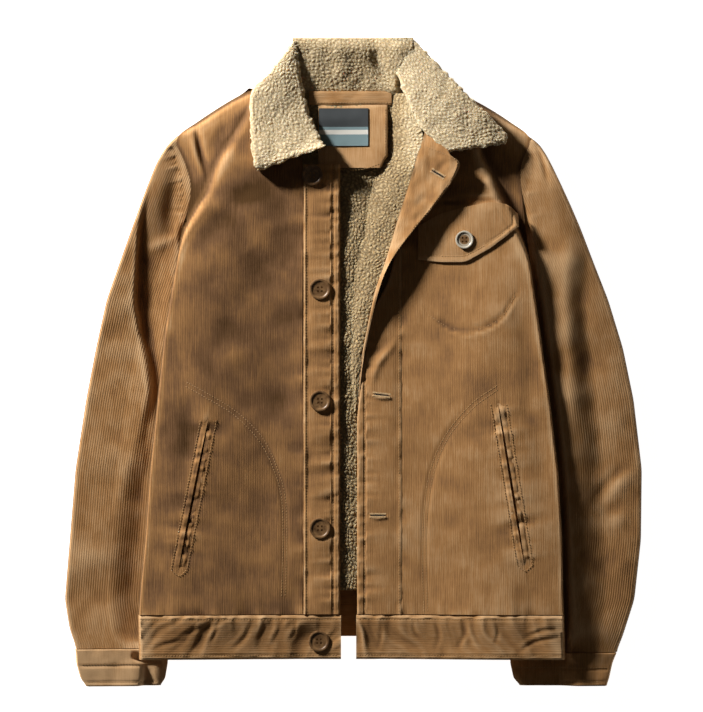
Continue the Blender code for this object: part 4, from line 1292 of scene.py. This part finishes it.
# %% Neck pieces
PATCH_LIFT = 3.0
Box = namedtuple("Box", "x0 x1 y0 y1")
NECK_STRIP = Box(-50.0, 52.0, 676.3, 693.0)
HANGER_PATCH = Box(-39.0, 46.0, 597.0, 676.0)
NECK_LABEL = Box(-38.0, 22.0, 626.0, 672.0)
LABEL_BANDS = [(0.0, "#6F8488"), (0.3, "#C9C6BE"), (0.42, "#6F8488"), (0.5, "#34383A")]
NECK_LEVEL = CLOTH + SEAM_GAP + BACK_PILE + SEAM_GAP + CLOTH


def label_material():
    made, tree, shader = new_material("woven_satin_label", {
        "Roughness": 0.55, "IOR": 1.5, "Specular IOR Level": 0.3, "Sheen Weight": 0.1})
    place = (node(tree, "ShaderNodeTexCoord"), "Object")
    axes = node(tree, "ShaderNodeSeparateXYZ", links={"Vector": place})
    bottom, top = (to_frame([0.0, level, 0.0])[1] for level in NECK_LABEL[2:])
    span = node(tree, "ShaderNodeMapRange", inputs={"From Min": bottom, "From Max": top},
                links={"Value": (axes, "Y")})
    colour_by((span, "Result"), tree, shader, LABEL_BANDS, "CONSTANT")
    weave = node(tree, "ShaderNodeTexWave", {"bands_direction": "Y"}, {"Scale": 400.0}, {"Vector": place})
    roughen(tree, shader, (weave, "Fac"), 0.3, 0.0003)
    return made


def patch_top(x, y):
    """Height of the hanger patch, which lifts towards its lower right corner."""
    down = HANGER_PATCH.y1 - y
    rise = 5.0 * ease((x + 20.0) / 66.0) * (0.35 + 0.65 * ease(down / 60.0))
    return NECK_LEVEL + PATCH_LIFT * ease(down / 20.0) + rise + 0.6 * blotch(x, y, 16.0, 91)


def flat_grid(box, step):
    return arrays(steps(box.x0, box.x1, step)[None, :], steps(box.y1, box.y0, step)[:, None])


def make_neck():
    box = NECK_STRIP
    x, y = flat_grid(box, COLUMN_STEP)
    edge = np.minimum(y - box.y0, box.y1 - y)
    points = grid(x, y, NECK_LEVEL + 0.6 * roll(edge, 3.0) + 0.6 * blotch(x, y, 11.0, 92))[:, ::4]
    relief = 0.6 * wales(points[..., 1], edge[:, ::4])
    strip = cloth("neck_strip", points, relief, 0.2, CLOTH, corduroy_across, 1)
    sewn = stitches("neck_strip", [[(-48.0, 679.0), (50.0, 679.0)]], resting_on(points))
    box = HANGER_PATCH
    x, y = flat_grid(box, COLUMN_STEP)
    low_edge = box.y0 + 7.0 * ((x - 10.0) / 40.0) ** 2 - 4.0 + 14.0 * ease((x - 34.0) / 12.0)
    y = np.maximum(y, low_edge)
    edge = np.minimum(np.minimum(y - low_edge, box.y1 - y), np.minimum(x - box.x0, box.x1 - x))
    points = grid(x, y, patch_top(x, y) - 1.0 * (1.0 - roll(edge, 2.5)))[::5]
    relief, wear_and_painted_shade = 0.6 * wales(x, edge), 0.2 + 0.25 * np.exp(-edge / 2.0)
    patch = cloth("hanger_patch", points, relief[::5], wear_and_painted_shade[::5], CLOTH, corduroy)
    lines = [[(43.0, 672.0), (43.0, 612.0)], [(36.0, 604.0), (10.0, 596.5), (-30.0, 599.0)]]
    stitches("hanger_patch", lines, resting_on(points))
    x, y = flat_grid(NECK_LABEL, 2.0)
    points = grid(x, y, patch_top(x, y) + SEAM_GAP + 1.0)
    label = cloth("neck_label", points, 0.0, 0.0, 1.0, label_material(), 1)


make_neck()

# %% [markdown]
# The lapel's facing is corduroy, turned back with the pile strip inside it. The chest flap and the pocket
# welts lie on the fronts, so they take their heights from the front's own surface.

# %% Lapel facing, chest flap and welts
FlapRow = namedtuple("FlapRow", "y top bottom")
CHEST_FLAP = table(FlapRow,
    (205, 541, 528), (193, 554, 518), (171, 557, 501), (140, 551, 484), (110, 543, 484), (83, 528, 487))
FLAP_RIGHT, FLAP_LEFT = 83.0, 205.0
FACING_COLUMNS = 69
SLITS = {"right": Hole(-172, 292, -208, 110), "left": Hole(180, 312, 212, 116)}
WELT_WIDTH = 10.5
WELT_SEAM = 9.6


def make_lapel():
    points = free_grid(LAPEL_FACING, FACING_COLUMNS, 12, 0.0)
    x, y = points[..., 0], points[..., 1]
    across = np.linspace(0.0, 1.0, FACING_COLUMNS)[None, :]
    width = np.linalg.norm(points[:, -1] - points[:, 0], axis=1)[:, None]
    edge = np.minimum(across, 1.0 - across) * width
    wrinkles = blotch(x, y, 18.0, 95) + 0.5 * blotch(x, y, 8.0, 97)
    points[..., 2] += 1.5 * wrinkles * ease(edge / 4.0)
    points[..., 2] -= 1.5 * (1.0 - roll((1.0 - across) * width, 4.0))
    wear_and_painted_shade = 0.06 + 0.25 * np.exp(-edge / 2.5) + 0.18 * blotch(x, y, 14.0, 96)
    made = cloth("lapel_facing", points, 0.6 * wales(across * width, edge), wear_and_painted_shade, PLACKET_WALL, corduroy)
    top = resting_on(points)
    edge_line = points[16:90:6, 64, :2].tolist()
    top_line = points[16, 10:64:9, :2].tolist()
    extras = [stitches("lapel_facing", [edge_line, top_line], top)]
    extras += buttonhole("lapel_buttonhole", Hole(99, 595.5, 114.5, 586), top)


def flap_top(x, y):
    """Upper face of the chest flap, which bridges the small hollows of the front."""
    around = [front_top(x + dx, y + dy) for dx, dy in ((0, 0), (7, 0), (-7, 0), (0, 7), (0, -7))]
    return np.max(around, axis=0) + 1.6


def make_flap():
    x = np.arange(FLAP_RIGHT, FLAP_LEFT + 0.01, COLUMN_STEP)[None, :]
    t = np.linspace(0.0, 1.0, 22)[:, None]
    top, bottom = column(CHEST_FLAP, "top", x, 5.0), column(CHEST_FLAP, "bottom", x, 5.0)
    y = top + (bottom - top) * t
    x = np.broadcast_to(x, y.shape)
    edge = np.minimum(y - bottom, FLAP_LEFT - x)
    z = flap_top(x, y) + 0.6 * np.exp(-((edge - 3.0) / 2.5) ** 2) - 0.6 * np.exp(-((edge - 7.0) / 1.5) ** 2)
    points = grid(x, y, z)
    wear_and_painted_shade = 0.15 + 0.3 * np.exp(-edge / 2.5)
    made = cloth("chest_flap", points, wales(x, np.minimum(edge, top - y)), wear_and_painted_shade, 2.2, corduroy)
    places = np.arange(86.0, 200.0, 9.0)
    hem = np.stack([places, column(CHEST_FLAP, "bottom", places, 5.0) + 7.0], axis=1)
    sewn = stitches("chest_flap", [hem], resting_on(points))


def make_welt(side, name, start, end, seed):
    slit = SLITS[side]
    t = np.linspace(0.0, 1.0, 95)[:, None]
    gape = 1.3 * np.sin(np.pi * t) ** 0.7 * np.sign(start + end)
    away = np.linspace(start, end, 15)[None, :]
    away = away + gape * (1.0 - np.abs(away) / WELT_WIDTH)
    dx, dy = slit.x1 - slit.x0, slit.y1 - slit.y0
    run = t * math.hypot(dx, dy)
    x = slit.x0 + dx * t + away
    y = slit.y0 + dy * t + 0.0 * away
    ripple = uneven(run / 5.0, seed) + 0.4 * uneven(run / 2.6, seed + 1)
    off = np.abs(away)
    sewn_down = ease(t / 0.05) * ease((1.0 - t) / 0.05)
    swell = ease(1.6 * (1.0 - off / WELT_WIDTH)) * sewn_down
    ground = np.max([front_top(x + step, y) for step in (-4.0, 0.0, 4.0)], axis=0)
    groove = 0.25 * np.exp(-((off - 8.0) / 1.2) ** 2) * sewn_down
    points = grid(x, y, ground - 0.35 + swell * (0.9 + 0.6 * ripple) - groove)
    # Pale wear on the ripples' crests and at the slit, painted shade in the ripples' troughs, on the front's
    # painted shade.
    wear_and_painted_shade = FRONT_PANEL_PAINTED_SHADE[side] + 0.12 + 0.2 * np.clip(ripple, -1.0, 1.0) * swell + 0.2 * np.exp(-off / 2.0)
    full_name = f"pocket_welt_{side}_{name}"
    made = cloth(full_name, points, 0.0, wear_and_painted_shade, 0.9, corduroy, 1)
    sewn_at = math.copysign(WELT_SEAM, start + end)
    lines = [[(slit.x0 + sewn_at, slit.y0), (slit.x1 + sewn_at, slit.y1)]]
    if name == "west":
        foot = [(-WELT_SEAM, 0.0), (0.0, -7.0), (WELT_SEAM, 0.0)]
        lines.append([(slit.x1 + step, slit.y1 + drop) for step, drop in foot])
    sewn = stitches(full_name, lines, lambda px, py: front_top(px, py) + 0.5)


make_lapel()
make_flap()
for side, seed in (("right", 101), ("left", 111)):
    make_welt(side, "west", -WELT_WIDTH, -SEAM_GAP, seed)
    make_welt(side, "east", SEAM_GAP, WELT_WIDTH, seed + 5)

# %% [markdown]
# The buttons are turned discs with a raised rim and four holes. One is modelled with Blender's tools: a
# cylinder, inset and pressed in for the dish, with its edges bevelled and the holes cut by a Boolean. The
# others are copies, each with its own mesh.

# %% Buttons
FRONT_BUTTONS = [(-46, 590), (-36.6, 451), (-36.6, 315), (-36.6, 160), (-37.8, 22)]
CHEST_BUTTON = (139, 511)
BUTTON_DIAMETER = 25.5
CHEST_BUTTON_DIAMETER = 22.0
BUTTON_HEIGHT = 2.8
SEW_HOLE_RADIUS = 1.25
SEW_HOLE_OFFSET = 2.3
# Colours from the button's middle to its rim: a brown eye, then pale and grey rings that are a painted
# highlight on the rim.
PAINTED_GLEAM_RINGS = [(0.0, "#6B4B2C"), (0.5, "#8A6A48"), (0.58, "#C3B9A6"), (0.72, "#8E8270"), (0.82, "#C9C1B1"),
              (1.0, "#B9B09E")]


def horn_material():
    """Polished horn: brown, with cloudy bands and a clear gloss."""
    made, tree, shader = new_material("polished_brown_horn", {
        "Roughness": 0.38, "IOR": 1.54, "Coat Weight": 0.15, "Coat Roughness": 0.2})
    place = (node(tree, "ShaderNodeTexCoord"), "Object")
    cloud = noise(tree, place, Scale=90.0, Detail=3.0, Distortion=1.5)
    colour_by((cloud, "Fac"), tree, shader, [(0.35, "#543A20"), (0.7, "#856440")])
    return made


def painted_gleam_horn_material(x, y):
    """Brown horn with a brown eye, and pale rings round the button's middle as a painted highlight."""
    made, tree, shader = new_material("pale_horn", {"Roughness": 0.3, "IOR": 1.54, "Coat Weight": 0.3})
    place = (node(tree, "ShaderNodeTexCoord"), "Object")
    flat = node(tree, "ShaderNodeVectorMath", {"operation": "MULTIPLY"}, {1: (1.0, 1.0, 0.0)}, {0: place})
    away = node(tree, "ShaderNodeVectorMath", {"operation": "DISTANCE"}, {1: Vector(to_frame([x, y, 0.0]))},
                {0: (flat, "Vector")})
    reach = 0.5 * CHEST_BUTTON_DIAMETER * MM
    span = node(tree, "ShaderNodeMapRange", inputs={"From Min": 0.0, "From Max": reach},
                links={"Value": (away, "Value")})
    colour_by((span, "Result"), tree, shader, PAINTED_GLEAM_RINGS)
    return made


def model_button(diameter, height):
    bpy.ops.object.select_all(action="DESELECT")
    bpy.ops.mesh.primitive_cylinder_add(vertices=40, radius=0.5 * diameter * MM, depth=height * MM,
                                        location=(0.0, 0.0, 0.5 * height * MM))
    made = bpy.context.object
    bpy.ops.object.transform_apply(location=True, rotation=True, scale=True)
    bpy.ops.object.mode_set(mode="EDIT")
    bpy.ops.mesh.select_mode(type="FACE")
    bpy.ops.mesh.select_all(action="DESELECT")
    shaped = bmesh.from_edit_mesh(made.data)
    for face in shaped.faces:
        face.select_set(face.normal.z > 0.9)
    bmesh.update_edit_mesh(made.data)
    bpy.ops.mesh.inset(thickness=0.09 * diameter * MM)
    bpy.ops.mesh.inset(thickness=0.06 * diameter * MM)
    bpy.ops.transform.translate(value=(0.0, 0.0, -0.38 * height * MM))
    bpy.ops.object.mode_set(mode="OBJECT")
    soft = made.modifiers.new("soft edges", "BEVEL")
    soft.width = 0.5 * MM
    soft.segments = 2
    soft.limit_method = "ANGLE"
    bpy.ops.object.modifier_apply(modifier="soft edges")
    for dx, dy in ((1, 1), (1, -1), (-1, 1), (-1, -1)):
        place = (dx * SEW_HOLE_OFFSET * MM, dy * SEW_HOLE_OFFSET * MM, 0.0)
        bpy.ops.mesh.primitive_cylinder_add(vertices=10, radius=SEW_HOLE_RADIUS * MM, depth=4.0 * height * MM,
                                            location=place)
        drill = bpy.context.object
        hole = made.modifiers.new("hole", "BOOLEAN")
        hole.object = drill
        hole.operation = "DIFFERENCE"
        bpy.context.view_layer.objects.active = made
        bpy.ops.object.modifier_apply(modifier="hole")
        bpy.data.objects.remove(drill, do_unlink=True)
    return made


def place_button(model, name, x, y, z, finish, slot):
    mesh = model.data.copy()
    for vertex in mesh.vertices:
        vertex.co += Vector(to_frame([x, y, z]))
    return add_piece(name + "_turned", mesh, finish, [name], 40.0)


button_model = model_button(BUTTON_DIAMETER, BUTTON_HEIGHT)
horn = horn_material()
for number, (x, y) in enumerate(FRONT_BUTTONS, start=1):
    seat = band_top if y < HEM_Y else placket_top
    place_button(button_model, f"button_{number}", x, y, float(seat(x, y)) - 0.7, horn, "brown_horn")
bpy.data.objects.remove(button_model, do_unlink=True)
chest_model = model_button(CHEST_BUTTON_DIAMETER, BUTTON_HEIGHT)
seat_z = float(flap_top(*CHEST_BUTTON)) + 0.1
pale_horn = painted_gleam_horn_material(*CHEST_BUTTON)
place_button(chest_model, "chest_button", *CHEST_BUTTON, seat_z, pale_horn, "pale_horn")
bpy.data.objects.remove(chest_model, do_unlink=True)
print("buttons placed")

# %% [markdown]
# The floor is plain white, and glows so that it stays white in the low light, as the cut-out's ground is.
# The key light is low and comes from the neck's left, so that every fold and every wale shows, and the open
# sky of the world fills the shadows a little.

# %% Floor and light
KEY_ELEVATION = 18.0
KEY_AZIMUTH = 137.0
KEY_DISTANCE = 3.2
KEY_SIZE = 0.35
KEY_POWER = 265.0
FILL = 0.045
FLOOR_GLOW = 0.97


def add_floor():
    bpy.ops.object.select_all(action="DESELECT")
    bpy.ops.mesh.primitive_plane_add(size=12.0, location=(0.0, 0.0, -0.0006))
    floor = bpy.context.object
    floor.name = "floor"
    paint = new_material("matt_white_paint", {
        "Base Color": colour("#F4F3F0"), "Roughness": 0.9,
        "Emission Color": colour("#FFFFFF"), "Emission Strength": FLOOR_GLOW})[0]
    floor.data.materials.append(paint)


def add_key():
    up, turn = math.radians(KEY_ELEVATION), math.radians(KEY_AZIMUTH)
    across = math.cos(up) * KEY_DISTANCE
    place = Vector((across * math.cos(turn), across * math.sin(turn), math.sin(up) * KEY_DISTANCE))
    bpy.ops.object.light_add(type="AREA", location=place)
    key = bpy.context.object
    key.data.size = KEY_SIZE
    key.data.energy = KEY_POWER
    key.data.color = (1.0, 0.98, 0.95)
    key.rotation_euler = (-place).to_track_quat("-Z", "Y").to_euler()


add_floor()
add_key()
world = bpy.data.worlds.new("studio")
bpy.context.scene.world = world
world.use_nodes = True
world.node_tree.nodes["Background"].inputs["Color"].default_value = colour("#FFF3E4")
world.node_tree.nodes["Background"].inputs["Strength"].default_value = FILL
bpy.context.scene.view_settings.view_transform = "Standard"
print("light and floor ready")
